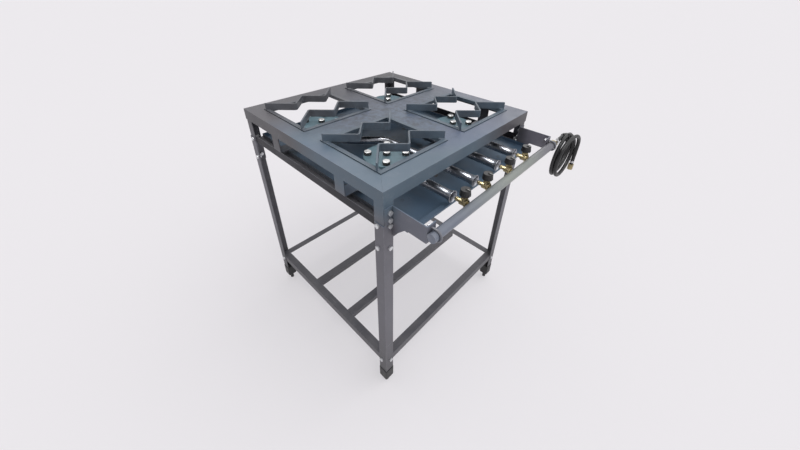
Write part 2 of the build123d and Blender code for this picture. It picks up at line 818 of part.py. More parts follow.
with BuildPart() as tap:
    with BuildSketch(Plane.XZ.offset(-manifold_y - pipe_r + PIPE_WALL)):
        with Locations((0, feed_z)):
            Circle(TAP_SPIGOT_D / 2)
    extrude(amount=-(PIPE_WALL + TAP_BODY_BACK))
    with BuildSketch(Plane.XZ.offset(-tap_body_y)):
        with Locations((0, feed_z)):
            Circle(TAP_BODY_D / 2)
    extrude(amount=-TAP_BODY_L)
    with BuildSketch(Plane.XZ.offset(-tap_body_y - TAP_BODY_L)):
        with Locations((0, feed_z)):
            Circle(TAP_OUTLET_D / 2)
    extrude(amount=-TAP_OUTLET_L)
    with BuildSketch(Plane.XY.offset(feed_z)):
        with Locations((0, tap_y)):
            Circle(TAP_TOWER_D / 2)
    extrude(amount=TAP_TOWER_H)
    with BuildSketch(Plane.XY.offset(feed_z + TAP_TOWER_H)):
        with Locations((0, tap_y)):
            Circle(SPINDLE_D / 2 + RUN_CLEAR)
    extrude(amount=-TAP_BORE_DEEP, mode=Mode.SUBTRACT)

with BuildPart() as injector:
    with BuildSketch(Plane.XZ.offset(-injector_y)):
        with Locations((0, feed_z)):
            RegularPolygon(INJECTOR_AF / 2, 6, major_radius=False)
    extrude(amount=-INJECTOR_L)
    with BuildSketch(Plane.XZ.offset(-injector_y - INJECTOR_L)):
        with Locations((0, feed_z)):
            Circle(INJECTOR_TIP_D / 2)
    extrude(amount=-INJECTOR_TIP_L, taper=INJECTOR_TAPER)

with BuildPart() as injectors:
    with Locations(*[(x, 0) for place, x in tap_places]):
        add(injector.part)

save(injectors.part, "injectors")

# Knobs: fluted caps with a pointer, on spindles that turn in the tap towers

knob_z = feed_z + TAP_TOWER_H + KNOB_GAP

with BuildPart() as knob:
    with BuildSketch(Plane.XY.offset(knob_z)):
        with Locations((0, tap_y)):
            Circle(KNOB_D / 2)
    with BuildSketch(Plane.XY.offset(knob_z + KNOB_H)):
        with Locations((0, tap_y)):
            Circle(KNOB_TOP_D / 2)
    loft()
    with BuildSketch(Plane.XY.offset(knob_z)):
        with Locations((0, tap_y)):
            with PolarLocations(KNOB_D / 2, KNOB_FLUTES):
                Circle(KNOB_FLUTE_D / 2)
    extrude(amount=KNOB_H, mode=Mode.SUBTRACT)
    with BuildSketch(Plane.XY.offset(knob_z + KNOB_H)):
        with Locations((0, tap_y)):
            Rectangle(KNOB_POINTER_W, KNOB_TOP_D / 2, align=(Align.CENTER, Align.MAX))
    extrude(amount=KNOB_POINTER_H)
    with BuildSketch(Plane.XY.offset(knob_z)):
        with Locations((0, tap_y)):
            Circle(SPINDLE_D / 2)
    extrude(amount=-(SPINDLE_DEEP + KNOB_GAP))

for place, x in tap_places:
    save(Pos(x, 0, 0) * tap.part, f"tap_{place}")
    save(Pos(x, 0, 0) * knob.part, f"knob_{place}")

# Grates: a ring that rests on the ledges, and two flat bars on edge, each
# bent into a W that reaches from one corner to the next

ring_x = opening_x - 2 * GRATE_GAP
ring_y = opening_y - 2 * GRATE_GAP
ring_top = ledge_z + GRATE_RING_H

with BuildPart() as grate:
    with BuildSketch(Plane.XY.offset(ledge_z)):
        with Locations((-grate_x, -grate_y)):
            Rectangle(ring_x, ring_y)
            Rectangle(ring_x - 2 * GRATE_RING_W, ring_y - 2 * GRATE_RING_W, mode=Mode.SUBTRACT)
    extrude(amount=GRATE_RING_H)
    with BuildSketch(Plane((-grate_x, -grate_y, ring_top))):
        with BuildLine():
            FilletPolyline(
                (-ring_x, POT_BAR_NEAR + ring_x - POT_BAR_SPREAD),
                (-POT_BAR_SPREAD, POT_BAR_NEAR),
                (0, POT_BAR_NEAR + POT_BAR_SPREAD),
                (POT_BAR_SPREAD, POT_BAR_NEAR),
                (ring_x, POT_BAR_NEAR + ring_x - POT_BAR_SPREAD),
                radius=POT_BAR_BEND,
            )
            offset(amount=POT_BAR_T / 2)
        make_face()
        mirror(about=Plane.XZ)
    extrude(amount=POT_BAR_H)
    with BuildSketch(Plane.XY.offset(ledge_z)):
        with Locations((-grate_x, -grate_y)):
            Rectangle(ring_x, ring_y)
    extrude(amount=GRATE_RING_H + POT_BAR_H, mode=Mode.INTERSECT)

for place, side, end in burner_places:
    save(Pos((side + 1) * grate_x, (end + 1) * grate_y, 0) * grate.part, f"grate_{place}")


# Bolts: hex bolts with their nuts, one shape for each thickness clamped


def bolt_set(grip):
    """A bolt along +Z with its head above z = 0 and its nut below the grip."""
    with BuildPart() as bolt:
        with BuildSketch():
            RegularPolygon(BOLT_AF / 2, 6, major_radius=False)
        extrude(amount=BOLT_HEAD_H)
        with BuildSketch():
            Circle(BOLT_D / 2)
        extrude(amount=-(grip + NUT_H + BOLT_TAIL))
        with BuildSketch(Plane.XY.offset(-grip)):
            RegularPolygon(BOLT_AF / 2, 6, major_radius=False)
        extrude(amount=-NUT_H)
    return bolt.part


to_left = (0, -90, 0)
to_front = (90, 0, 0)
to_below = (180, 0, 0)
two_sheets = bolt_set(2 * SHEET)
three_sheets = bolt_set(3 * SHEET)
bracket_bolt = bolt_set(BRACKET_T + SHEET)
burner_bolt = bolt_set(BAR_T + BURNER_FLOOR)

with BuildPart() as frame_bolts:
    with Locations(
        Location((-half_w, -bolt_y, leg_bolt_z[1]), to_left),
        Location((-half_w, -bolt_y, rail_bolt_z), to_left),
        Location((-bolt_x, -half_d, leg_bolt_z[0]), to_front),
        Location((-bolt_x, -half_d, leg_bolt_z[1]), to_front),
        Location((-bolt_x, -half_d, rail_bolt_z), to_front),
    ):
        add(two_sheets)
    with Locations(Location((-half_w, -bolt_y, leg_bolt_z[0]), to_left)):
        add(three_sheets)
    mirror(about=Plane.XZ)
    with Locations(*[Location((-bolt_x, -bracket_face, z), to_front) for z in bracket_bolt_z]):
        add(bracket_bolt)
    with Locations(
        Location((-burner_x, -bar_y, bar_z), to_below),
        Location((-burner_x, 2 * burner_y - bar_y, bar_z), to_below),
    ):
        add(burner_bolt)
    mirror(about=Plane.YZ)

save(frame_bolts.part, "frame_bolts")

# Gas inlet: a barbed nipple in the pipe's right end, and the coiled hose

hose_x = pipe_half + NIPPLE_HEX_L
barb_r = HOSE_BORE / 2 - RUN_CLEAR
coil_x = hose_x + HOSE_LEAD_L
coil_z = feed_z - COIL_R
coil_y = manifold_y - HOSE_D / 2 - CURVE_GAP - COIL_BUNDLE_D / 2
tail_y = coil_y - COIL_BUNDLE_D / 2 - CURVE_GAP - HOSE_D / 2
tail_x = coil_x + COIL_R

with BuildPart() as inlet_nipple:
    with BuildSketch(Plane.YZ.offset(pipe_half)):
        with Locations((manifold_y, feed_z)):
            RegularPolygon(NIPPLE_AF / 2, 6, major_radius=False)
    extrude(amount=NIPPLE_HEX_L)
    with BuildSketch(Plane.YZ.offset(pipe_half)):
        with Locations((manifold_y, feed_z)):
            Circle(pipe_r - PIPE_WALL - RUN_CLEAR)
    extrude(amount=-NIPPLE_SPIGOT_L)
    with BuildSketch(Plane.YZ.offset(hose_x)):
        with Locations((manifold_y, feed_z)):
            Circle(barb_r)
    extrude(amount=BARB_L)

with BuildPart() as gas_hose:
    with BuildLine(Plane.XZ.offset(-manifold_y)) as lead_route:
        lead = Line((hose_x, feed_z), (coil_x, feed_z))
        TangentArc(lead @ 1, (tail_x, coil_z), tangent=lead % 1)
    with BuildSketch(Plane.YZ.offset(hose_x)):
        with Locations((manifold_y, feed_z)):
            Circle(HOSE_D / 2)
            Circle(HOSE_BORE / 2, mode=Mode.SUBTRACT)
    sweep(path=lead_route.line)
    with BuildSketch(Plane.XY.offset(coil_z)):
        with Locations((tail_x, tail_y)):
            Circle(HOSE_D / 2)
            Circle(HOSE_BORE / 2, mode=Mode.SUBTRACT)
    extrude(amount=-HOSE_TAIL_L)

with BuildPart() as hose_coil:
    with BuildSketch(Plane.XY.offset(coil_z)):
        with Locations((tail_x, coil_y)):
            Circle(COIL_BUNDLE_D / 2)
    revolve(axis=Axis((coil_x, coil_y, coil_z), (0, 1, 0)))

tie_inner = [
    ((coil_y, feed_z), COIL_BUNDLE_D / 2 + TIE_SLACK),
    ((manifold_y, feed_z), HOSE_D / 2 + TIE_SLACK),
]

with BuildPart() as hose_tie:
    with BuildSketch(Plane.YZ.offset(coil_x)):
        for place, radius in tie_inner:
            with Locations(place):
                Circle(radius + TIE_T)
        make_hull()
    extrude(amount=TIE_W / 2, both=True)
    with BuildSketch(Plane.YZ.offset(coil_x)):
        for place, radius in tie_inner:
            with Locations(place):
                Circle(radius)
        make_hull()
    extrude(amount=TIE_W / 2, both=True, mode=Mode.SUBTRACT)

with BuildPart() as hose_end_fitting:
    with BuildSketch(Plane.XY.offset(coil_z - HOSE_TAIL_L)):
        with Locations((tail_x, tail_y)):
            RegularPolygon(HOSE_END_AF / 2, 6, major_radius=False)
    extrude(amount=-HOSE_END_L)
    with BuildSketch(Plane.XY.offset(coil_z - HOSE_TAIL_L)):
        with Locations((tail_x, tail_y)):
            Circle(barb_r)
    extrude(amount=BARB_L)
    with BuildSketch(Plane.XY.offset(coil_z - HOSE_TAIL_L - HOSE_END_L)):
        with Locations((tail_x, tail_y)):
            Circle(HOSE_END_BORE / 2)
    extrude(amount=HOSE_END_BORE_DEEP, mode=Mode.SUBTRACT)

save(inlet_nipple.part, "inlet_nipple")
save(gas_hose.part, "gas_hose")
save(hose_coil.part, "gas_hose_coil")
save(hose_tie.part, "hose_tie")
save(hose_end_fitting.part, "hose_end_fitting")
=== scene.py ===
import json
from math import cos, pi, radians, sin

import bmesh
import bpy
from mathutils import Matrix, Vector


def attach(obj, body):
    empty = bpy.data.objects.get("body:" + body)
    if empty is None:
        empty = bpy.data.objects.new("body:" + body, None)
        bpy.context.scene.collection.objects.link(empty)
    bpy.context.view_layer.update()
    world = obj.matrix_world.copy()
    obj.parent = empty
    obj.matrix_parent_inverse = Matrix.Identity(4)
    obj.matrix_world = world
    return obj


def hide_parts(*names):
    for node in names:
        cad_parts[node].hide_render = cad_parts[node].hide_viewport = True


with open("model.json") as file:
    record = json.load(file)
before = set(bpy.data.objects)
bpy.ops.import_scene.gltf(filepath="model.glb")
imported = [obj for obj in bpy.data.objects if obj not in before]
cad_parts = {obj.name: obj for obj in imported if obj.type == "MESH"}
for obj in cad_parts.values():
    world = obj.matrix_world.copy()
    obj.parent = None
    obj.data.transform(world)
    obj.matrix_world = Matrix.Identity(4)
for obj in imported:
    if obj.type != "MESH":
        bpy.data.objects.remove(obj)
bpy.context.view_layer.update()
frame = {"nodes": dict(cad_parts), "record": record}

nodes = frame["nodes"]
scene = bpy.context.scene
scene.view_settings.view_transform = "Standard"
MM = 0.001


# Helpers that build nodes, for the studio, the groups and the materials

def feed(tree, socket, value):
    """Sets a socket to a number, or links it to another node's output."""
    if isinstance(value, (int, float)):
        socket.default_value = value
    else:
        tree.links.new(value, socket)


def math_node(tree, operation, first, second=None):
    node = tree.nodes.new("ShaderNodeMath")
    node.operation = operation
    feed(tree, node.inputs[0], first)
    if second is not None:
        feed(tree, node.inputs[1], second)
    return node.outputs[0]


def share(tree, mask, amount):
    """A mask turned down by an amount, or held to where another mask is."""
    return math_node(tree, "MULTIPLY", mask, amount)


def vector_node(tree, operation, first, second):
    node = tree.nodes.new("ShaderNodeVectorMath")
    node.operation = operation
    tree.links.new(first, node.inputs[0])
    tree.links.new(second, node.inputs[1])
    return node.outputs


def own_place(tree):
    """Where a point lies on the piece, in metres."""
    return tree.nodes.new("ShaderNodeTexCoord").outputs["Object"]


def facing(tree):
    """The way that a face looks."""
    return tree.nodes.new("ShaderNodeNewGeometry").outputs["Normal"]


def axes_of(tree, vector):
    split = tree.nodes.new("ShaderNodeSeparateXYZ")
    tree.links.new(vector, split.inputs[0])
    return split.outputs


def noise(tree, scale, detail=3, roughness=0.5, stretch=None):
    """Noise on the piece's own place, scale in features per metre."""
    vector = own_place(tree)
    if stretch:
        mapping = tree.nodes.new("ShaderNodeMapping")
        mapping.inputs["Scale"].default_value = stretch
        tree.links.new(vector, mapping.inputs["Vector"])
        vector = mapping.outputs["Vector"]
    node = tree.nodes.new("ShaderNodeTexNoise")
    tree.links.new(vector, node.inputs["Vector"])
    feed(tree, node.inputs["Scale"], scale)
    node.inputs["Detail"].default_value = detail
    node.inputs["Roughness"].default_value = roughness
    return node.outputs["Fac"]


def ramp(tree, value, low, high):
    """0 at low and 1 at high, held at both ends."""
    node = tree.nodes.new("ShaderNodeMapRange")
    tree.links.new(value, node.inputs["Value"])
    feed(tree, node.inputs["From Min"], low)
    feed(tree, node.inputs["From Max"], high)
    return node.outputs["Result"]


def mix_colour(tree, factor, first, second):
    node = tree.nodes.new("ShaderNodeMix")
    node.data_type = "RGBA"
    tree.links.new(factor, node.inputs["Factor"])
    for label, value in (("A", first), ("B", second)):
        if isinstance(value, tuple):
            node.inputs[label].default_value = (*value, 1)
        else:
            tree.links.new(value, node.inputs[label])
    return node.outputs["Result"]


def cover(tree, base, colour, mask, amount):
    """Lays a colour over a base where the mask is, up to an amount."""
    return mix_colour(tree, share(tree, mask, amount), base, colour)


def mix_value(tree, factor, first, second):
    node = tree.nodes.new("ShaderNodeMix")
    tree.links.new(factor, node.inputs["Factor"])
    feed(tree, node.inputs["A"], first)
    feed(tree, node.inputs["B"], second)
    return node.outputs["Result"]


# Camera, light and floor: the photograph's viewing angle, in an image of 800 by 450

CAMERA_AT = (-0.788, -0.826, 1.358)
CAMERA_YAW, CAMERA_PITCH, CAMERA_ROLL = radians(43.11), radians(33.08), radians(1.27)
CAMERA_SENSOR = 36
CAMERA_LENS = 14.4
CAMERA_SHIFT = (-0.004, -0.058)
SKY = (0.93, 0.92, 0.94)
SKY_LIGHT, SKY_SEEN = 0.68, 0.9
KEY_AT, KEY_AIM = (1.2, -2.2, 4), (0, 0, 0.5)
KEY_ENERGY = 1.45
KEY_SPREAD = radians(80)
SOFTBOX_AIM = (0, -0.3, 0.86)
FLOOR_SIZE = 300
FLOOR_TONES = ((0.83, 0.815, 0.835), (0.845, 0.83, 0.85))
FLOOR_GLOW = (0.842, 0.82, 0.846)
FLOOR_GLOW_SHARE = 0.45


def place_camera():
    yaw, pitch, roll = CAMERA_YAW, CAMERA_PITCH, CAMERA_ROLL
    ahead = Vector((cos(yaw) * cos(pitch), sin(yaw) * cos(pitch), -sin(pitch)))
    right = Vector((sin(yaw), -cos(yaw), 0))
    up = right.cross(ahead)
    right, up = cos(roll) * right + sin(roll) * up, cos(roll) * up - sin(roll) * right
    turn = Matrix((right, up, -ahead)).transposed().to_4x4()
    bpy.ops.object.camera_add()
    camera = bpy.context.object
    camera.matrix_world = Matrix.Translation(CAMERA_AT) @ turn
    camera.data.sensor_width = CAMERA_SENSOR
    camera.data.lens = CAMERA_LENS
    camera.data.shift_x, camera.data.shift_y = CAMERA_SHIFT
    camera.data.clip_start = 0.01
    scene.camera = camera


def seen_ray(tree):
    """1 for rays that show the backdrop itself: seen directly, mirrored or through something."""
    rays = tree.nodes.new("ShaderNodeLightPath").outputs
    direct = math_node(tree, "MAXIMUM", rays["Is Camera Ray"], rays["Is Glossy Ray"])
    return math_node(tree, "MAXIMUM", direct, rays["Is Transmission Ray"])


def aim_at(lamp, place):
    lamp.rotation_euler = (Vector(place) - lamp.location).to_track_quat("-Z", "Y").to_euler()


def hang_softbox(name, place, width, depth, watts):
    """A lamp that shows as a bright streak in metal and gloss and lights no plain surface."""
    bpy.ops.object.light_add(type="AREA", location=place)
    softbox = bpy.context.object
    softbox.name = name
    softbox.data.shape = "RECTANGLE"
    softbox.data.size = width
    softbox.data.size_y = depth
    softbox.data.energy = watts
    softbox.visible_diffuse = False
    aim_at(softbox, SOFTBOX_AIM)


def light_the_studio():
    """An even sky, one broad key light and three softboxes."""
    world = bpy.data.worlds.new("studio")
    scene.world = world
    world.use_nodes = True
    tree = world.node_tree
    sky = tree.nodes["Background"]
    sky.inputs["Color"].default_value = (*SKY, 1)
    level = tree.nodes.new("ShaderNodeMapRange")
    level.inputs["To Min"].default_value = SKY_LIGHT
    level.inputs["To Max"].default_value = SKY_SEEN
    tree.links.new(seen_ray(tree), level.inputs["Value"])
    tree.links.new(level.outputs["Result"], sky.inputs["Strength"])

    bpy.ops.object.light_add(type="SUN", location=KEY_AT)
    key = bpy.context.object
    key.name = "key_light"
    key.data.energy = KEY_ENERGY
    key.data.angle = KEY_SPREAD
    aim_at(key, KEY_AIM)
    hang_softbox("side_softbox", (2.7, 0.7, 2.1), width=1.6, depth=1.6, watts=9)
    hang_softbox("rear_softbox", (1.3, 1.35, 2.1), width=0.7, depth=0.7, watts=3)
    hang_softbox("overhead_softbox", (-0.35, 0.17, 2.1), width=0.5, depth=1.1, watts=25)


def lay_floor():
    """A pale floor that takes the stove's shadow and runs out of sight into the sky."""
    bpy.ops.object.select_all(action="DESELECT")
    bpy.ops.mesh.primitive_plane_add(size=FLOOR_SIZE)
    floor = bpy.context.object
    floor.name = "floor"
    material, tree, shader = start_material("studio_floor", 0.0, 0.1)
    shader.inputs["Roughness"].default_value = 0.9
    grain = tree.nodes.new("ShaderNodeTexNoise")
    grain.inputs["Scale"].default_value = 3
    tones = mix_colour(tree, grain.outputs["Fac"], *FLOOR_TONES)
    tree.links.new(tones, shader.inputs["Base Color"])
    glow = tree.nodes.new("ShaderNodeEmission")
    glow.inputs["Color"].default_value = (*FLOOR_GLOW, 1)
    blend = tree.nodes.new("ShaderNodeMixShader")
    tree.links.new(share(tree, seen_ray(tree), FLOOR_GLOW_SHARE), blend.inputs["Fac"])
    tree.links.new(shader.outputs["BSDF"], blend.inputs[1])
    tree.links.new(glow.outputs["Emission"], blend.inputs[2])
    tree.links.new(blend.outputs["Shader"], tree.nodes["Material Output"].inputs["Surface"])
    floor.data.materials.append(material)


# Shared finishes: groups of nodes that put out masks and heights

def new_group(name, inputs, outputs):
    tree = bpy.data.node_groups.new(name, "ShaderNodeTree")
    for label, value in inputs:
        socket = tree.interface.new_socket(label, in_out="INPUT", socket_type="NodeSocketFloat")
        socket.default_value = value
    for label in outputs:
        tree.interface.new_socket(label, in_out="OUTPUT", socket_type="NodeSocketFloat")
    given = tree.nodes.new("NodeGroupInput").outputs
    result = tree.nodes.new("NodeGroupOutput").inputs
    return tree, given, result


def make_edge_wear():
    """Rubbed edges, broken up so that the wear comes and goes."""
    tree, given, result = new_group("edge_wear", [("Width", 0.0015), ("Breakup", 90)], ["Mask"])
    rounded = tree.nodes.new("ShaderNodeBevel")
    rounded.samples = 6
    tree.links.new(given["Width"], rounded.inputs["Radius"])
    match = vector_node(tree, "DOT_PRODUCT", rounded.outputs["Normal"], facing(tree))
    edge = ramp(tree, match["Value"], 0.995, 0.8)
    patches = ramp(tree, noise(tree, given["Breakup"], 5, 0.65), 0.38, 0.62)
    tree.links.new(share(tree, edge, patches), result["Mask"])
    return tree


def make_upward_faces():
    """Faces that look up, where dust and drips settle and where light from above is painted."""
    tree, given, result = new_group("upward_faces", [("From", 0.55), ("To", 0.9)], ["Mask"])
    up = axes_of(tree, facing(tree))["Z"]
    tree.links.new(ramp(tree, up, given["From"], given["To"]), result["Mask"])
    return tree


def outward(tree):
    """How far a face lies out from the stove's middle on each axis, below 0 if it looks inwards."""
    return axes_of(tree, vector_node(tree, "MULTIPLY", facing(tree), own_place(tree))["Vector"])


def make_inner_faces():
    """Faces turned to the stove's middle, which the frame's paint darkens as painted shade with
    grime.
    """
    tree, given, result = new_group("inner_faces", [("From", -0.03), ("To", -0.14)], ["Mask"])
    out = outward(tree)
    both = math_node(tree, "ADD", out["X"], out["Y"])
    tree.links.new(ramp(tree, both, given["From"], given["To"]), result["Mask"])
    return tree


def make_outer_sides():
    """Faces of the two outer sides, left and right."""
    tree, given, result = new_group("outer_sides", [("From", 0.15), ("To", 0.3)], ["Mask"])
    out = outward(tree)["X"]
    tree.links.new(ramp(tree, out, given["From"], given["To"]), result["Mask"])
    return tree


def make_flame_soot():
    """Round marks over the four burners: 1 over a burner's middle, 0 beyond its reach."""
    inputs = [("Across", 0.175), ("Along", 0.1785), ("Inside", 0.04), ("Reach", 0.12)]
    tree, given, result = new_group("flame_soot", inputs, ["Mask"])
    place = axes_of(tree, own_place(tree))
    squares = []
    for axis, label in (("X", "Across"), ("Y", "Along")):
        folded = math_node(tree, "ABSOLUTE", place[axis])
        offset = math_node(tree, "SUBTRACT", folded, given[label])
        squares.append(math_node(tree, "MULTIPLY", offset, offset))
    away = math_node(tree, "SQRT", math_node(tree, "ADD", *squares))
    near = ramp(tree, away, given["Reach"], given["Inside"])
    cloud = ramp(tree, noise(tree, 55, 5, 0.65), 0.3, 0.65)
    tree.links.new(share(tree, near, cloud), result["Mask"])
    return tree


def make_paint_skin():
    """Sprayed enamel: drift of tone and hue, orange peel, rubbed patches, hair scratches, dust."""
    inputs = [("Drift scale", 4), ("Peel scale", 380)]
    outputs = ["Drift", "Hue", "Peel", "Rubbed", "Scratch", "Dust"]
    tree, given, result = new_group("paint_skin", inputs, outputs)
    drift = noise(tree, given["Drift scale"], 5, 0.62)
    tree.links.new(ramp(tree, drift, 0.32, 0.68), result["Drift"])
    hue = noise(tree, given["Drift scale"], 2, 0.5, stretch=(0.6, 0.75, 0.5))
    tree.links.new(ramp(tree, hue, 0.38, 0.62), result["Hue"])
    cells = tree.nodes.new("ShaderNodeTexVoronoi")
    cells.feature = "SMOOTH_F1"
    tree.links.new(own_place(tree), cells.inputs["Vector"])
    tree.links.new(given["Peel scale"], cells.inputs["Scale"])
    tree.links.new(cells.outputs["Distance"], result["Peel"])
    tree.links.new(ramp(tree, noise(tree, 34, 6, 0.7), 0.58, 0.74), result["Rubbed"])
    hairs = [noise(tree, 1, 2, 0.5, stretch=s) for s in ((9, 700, 300), (620, 8, 300))]
    lines = math_node(tree, "MAXIMUM", *[ramp(tree, h, 0.69, 0.73) for h in hairs])
    where = ramp(tree, noise(tree, 11, 3, 0.5), 0.45, 0.6)
    tree.links.new(share(tree, lines, where), result["Scratch"])
    dust = share(tree, noise(tree, 900, 2, 0.6), noise(tree, 16, 4, 0.6))
    tree.links.new(ramp(tree, dust, 0.2, 0.42), result["Dust"])
    return tree


def make_cast_grain():
    """Sand-cast or fire-scaled skin: fine grain with small pits and a slow tone."""
    tree, given, result = new_group("cast_grain", [("Grain", 800)], ["Tone", "Height", "Pits"])
    tree.links.new(ramp(tree, noise(tree, 22, 5, 0.62), 0.32, 0.68), result["Tone"])
    pits = ramp(tree, noise(tree, 620, 2, 0.5), 0.36, 0.27)
    tree.links.new(pits, result["Pits"])
    grain = noise(tree, given["Grain"], 3, 0.65)
    tree.links.new(math_node(tree, "SUBTRACT", grain, pits), result["Height"])
    return tree


def make_turning_marks():
    """Fine drawing or turning marks, with a slow tarnish and small spots."""
    outputs = ["Tone", "Height", "Spots"]
    tree, given, result = new_group("turning_marks", [("Fineness", 60)], outputs)
    lines = noise(tree, given["Fineness"], 3, 0.6, stretch=(8, 1, 8))
    tree.links.new(lines, result["Height"])
    tree.links.new(ramp(tree, noise(tree, 26, 5, 0.65), 0.32, 0.68), result["Tone"])
    tree.links.new(ramp(tree, noise(tree, 260, 3, 0.6), 0.62, 0.72), result["Spots"])
    return tree


def make_grease():
    """Dried drips: round spots with wavy rims, over a thin film."""
    tree, given, result = new_group("grease", [("Spots per metre", 26)], ["Spots", "Film"])
    ripple = tree.nodes.new("ShaderNodeTexNoise")
    ripple.inputs["Scale"].default_value = 40
    tree.links.new(own_place(tree), ripple.inputs["Vector"])
    wobble = tree.nodes.new("ShaderNodeVectorMath")
    wobble.operation = "SCALE"
    wobble.inputs["Scale"].default_value = 0.02
    tree.links.new(ripple.outputs["Color"], wobble.inputs[0])
    bent = vector_node(tree, "ADD", own_place(tree), wobble.outputs[0])
    cells = tree.nodes.new("ShaderNodeTexVoronoi")
    tree.links.new(bent["Vector"], cells.inputs["Vector"])
    tree.links.new(given["Spots per metre"], cells.inputs["Scale"])
    spots = ramp(tree, cells.outputs["Distance"], 0.3, 0.22)
    some = ramp(tree, noise(tree, 7, 3, 0.6), 0.48, 0.6)
    tree.links.new(share(tree, spots, some), result["Spots"])
    tree.links.new(ramp(tree, noise(tree, 5, 5, 0.65), 0.35, 0.7), result["Film"])
    return tree


edge_wear = make_edge_wear()
upward_faces = make_upward_faces()
inner_faces = make_inner_faces()
outer_sides = make_outer_sides()
flame_soot = make_flame_soot()
paint_skin = make_paint_skin()
cast_grain = make_cast_grain()
turning_marks = make_turning_marks()
grease = make_grease()


# Materials

def start_material(name, metallic, specular=0.5):
    material = bpy.data.materials.new(name)
    material.use_nodes = True
    shader = material.node_tree.nodes["Principled BSDF"]
    shader.inputs["Metallic"].default_value = metallic
    shader.inputs["Specular IOR Level"].default_value = specular
    return material, material.node_tree, shader


def put_group(tree, group, **values):
    node = tree.nodes.new("ShaderNodeGroup")
    node.node_tree = group
    for label, value in values.items():
        node.inputs[label].default_value = value
    return node.outputs


def worn_edges(tree, base, colour, amount, **values):
    return cover(tree, base, colour, put_group(tree, edge_wear, **values)["Mask"], amount)


def surface(tree, shader, colour, roughness):
    tree.links.new(colour, shader.inputs["Base Color"])
    tree.links.new(roughness, shader.inputs["Roughness"])


def bump(tree, shader, height, strength, depth):
    node = tree.nodes.new("ShaderNodeBump")
    node.inputs["Strength"].default_value = strength
    node.inputs["Distance"].default_value = depth
    tree.links.new(height, node.inputs["Height"])
    tree.links.new(node.outputs["Normal"], shader.inputs["Normal"])


# Colours of the frame's paint, dark and light where they drift, and where each zone starts and ends
LEG_PAINT = ((0.099, 0.098, 0.117), (0.129, 0.126, 0.147))
# painted shade with grime, for inward faces under the table
INNER_SHADE_AND_GRIME, UNDER_TABLE_Z = (0.045, 0.044, 0.05), (0.8, 0.7)
# the frame's paint turns darker towards the floor
NEAR_FLOOR_DARK, NEAR_FLOOR_Z = (0.052, 0.05, 0.052), (0.42, 0.12)
LIP_COOL, LIPS_Z = (0.07, 0.116, 0.158), (0.8, 0.87)
LIP_DULL, DULL_X, DULL_Y = (0.06, 0.058, 0.064), (0.02, 0.2), (-0.1, 0.06)
NEAR_BRACKET = ((0.1, 0.108, 0.138), (0.13, 0.137, 0.17))
# painted light: the far bracket's colours are lighter, which lifts its shaded inner face
FAR_BRACKET_PAINTED_LIGHT = ((0.15, 0.144, 0.176), (0.19, 0.182, 0.216))
BRACKETS_X, BRACKETS_Y = (0.1, 0.3), (-0.385, -0.41)
# the table's colours, bluer and lighter than the legs': painted sky light on upward faces
TABLE_COOL = ((0.092, 0.122, 0.196), (0.119, 0.15, 0.235))
TABLE_GREEN = ((0.09, 0.138, 0.187), (0.119, 0.171, 0.227))
# painted sheen: the table lighter and greyer towards the right
TABLE_SHEEN, SHEEN_X = (0.15, 0.15, 0.172), (0.05, 0.3)
# browner towards the rear, with painted shade at the rear right
BROWN_LEFT, BROWN_SHADE_RIGHT = (0.11, 0.098, 0.1), (0.042, 0.036, 0.038)
BROWN_AND_SHADE_X, BROWN_AND_SHADE_Y = (-0.3, 0.3), (-0.02, 0.22)
TABLE_SOOT, TABLE_Z = (0.044, 0.057, 0.078), (0.75, 0.8)


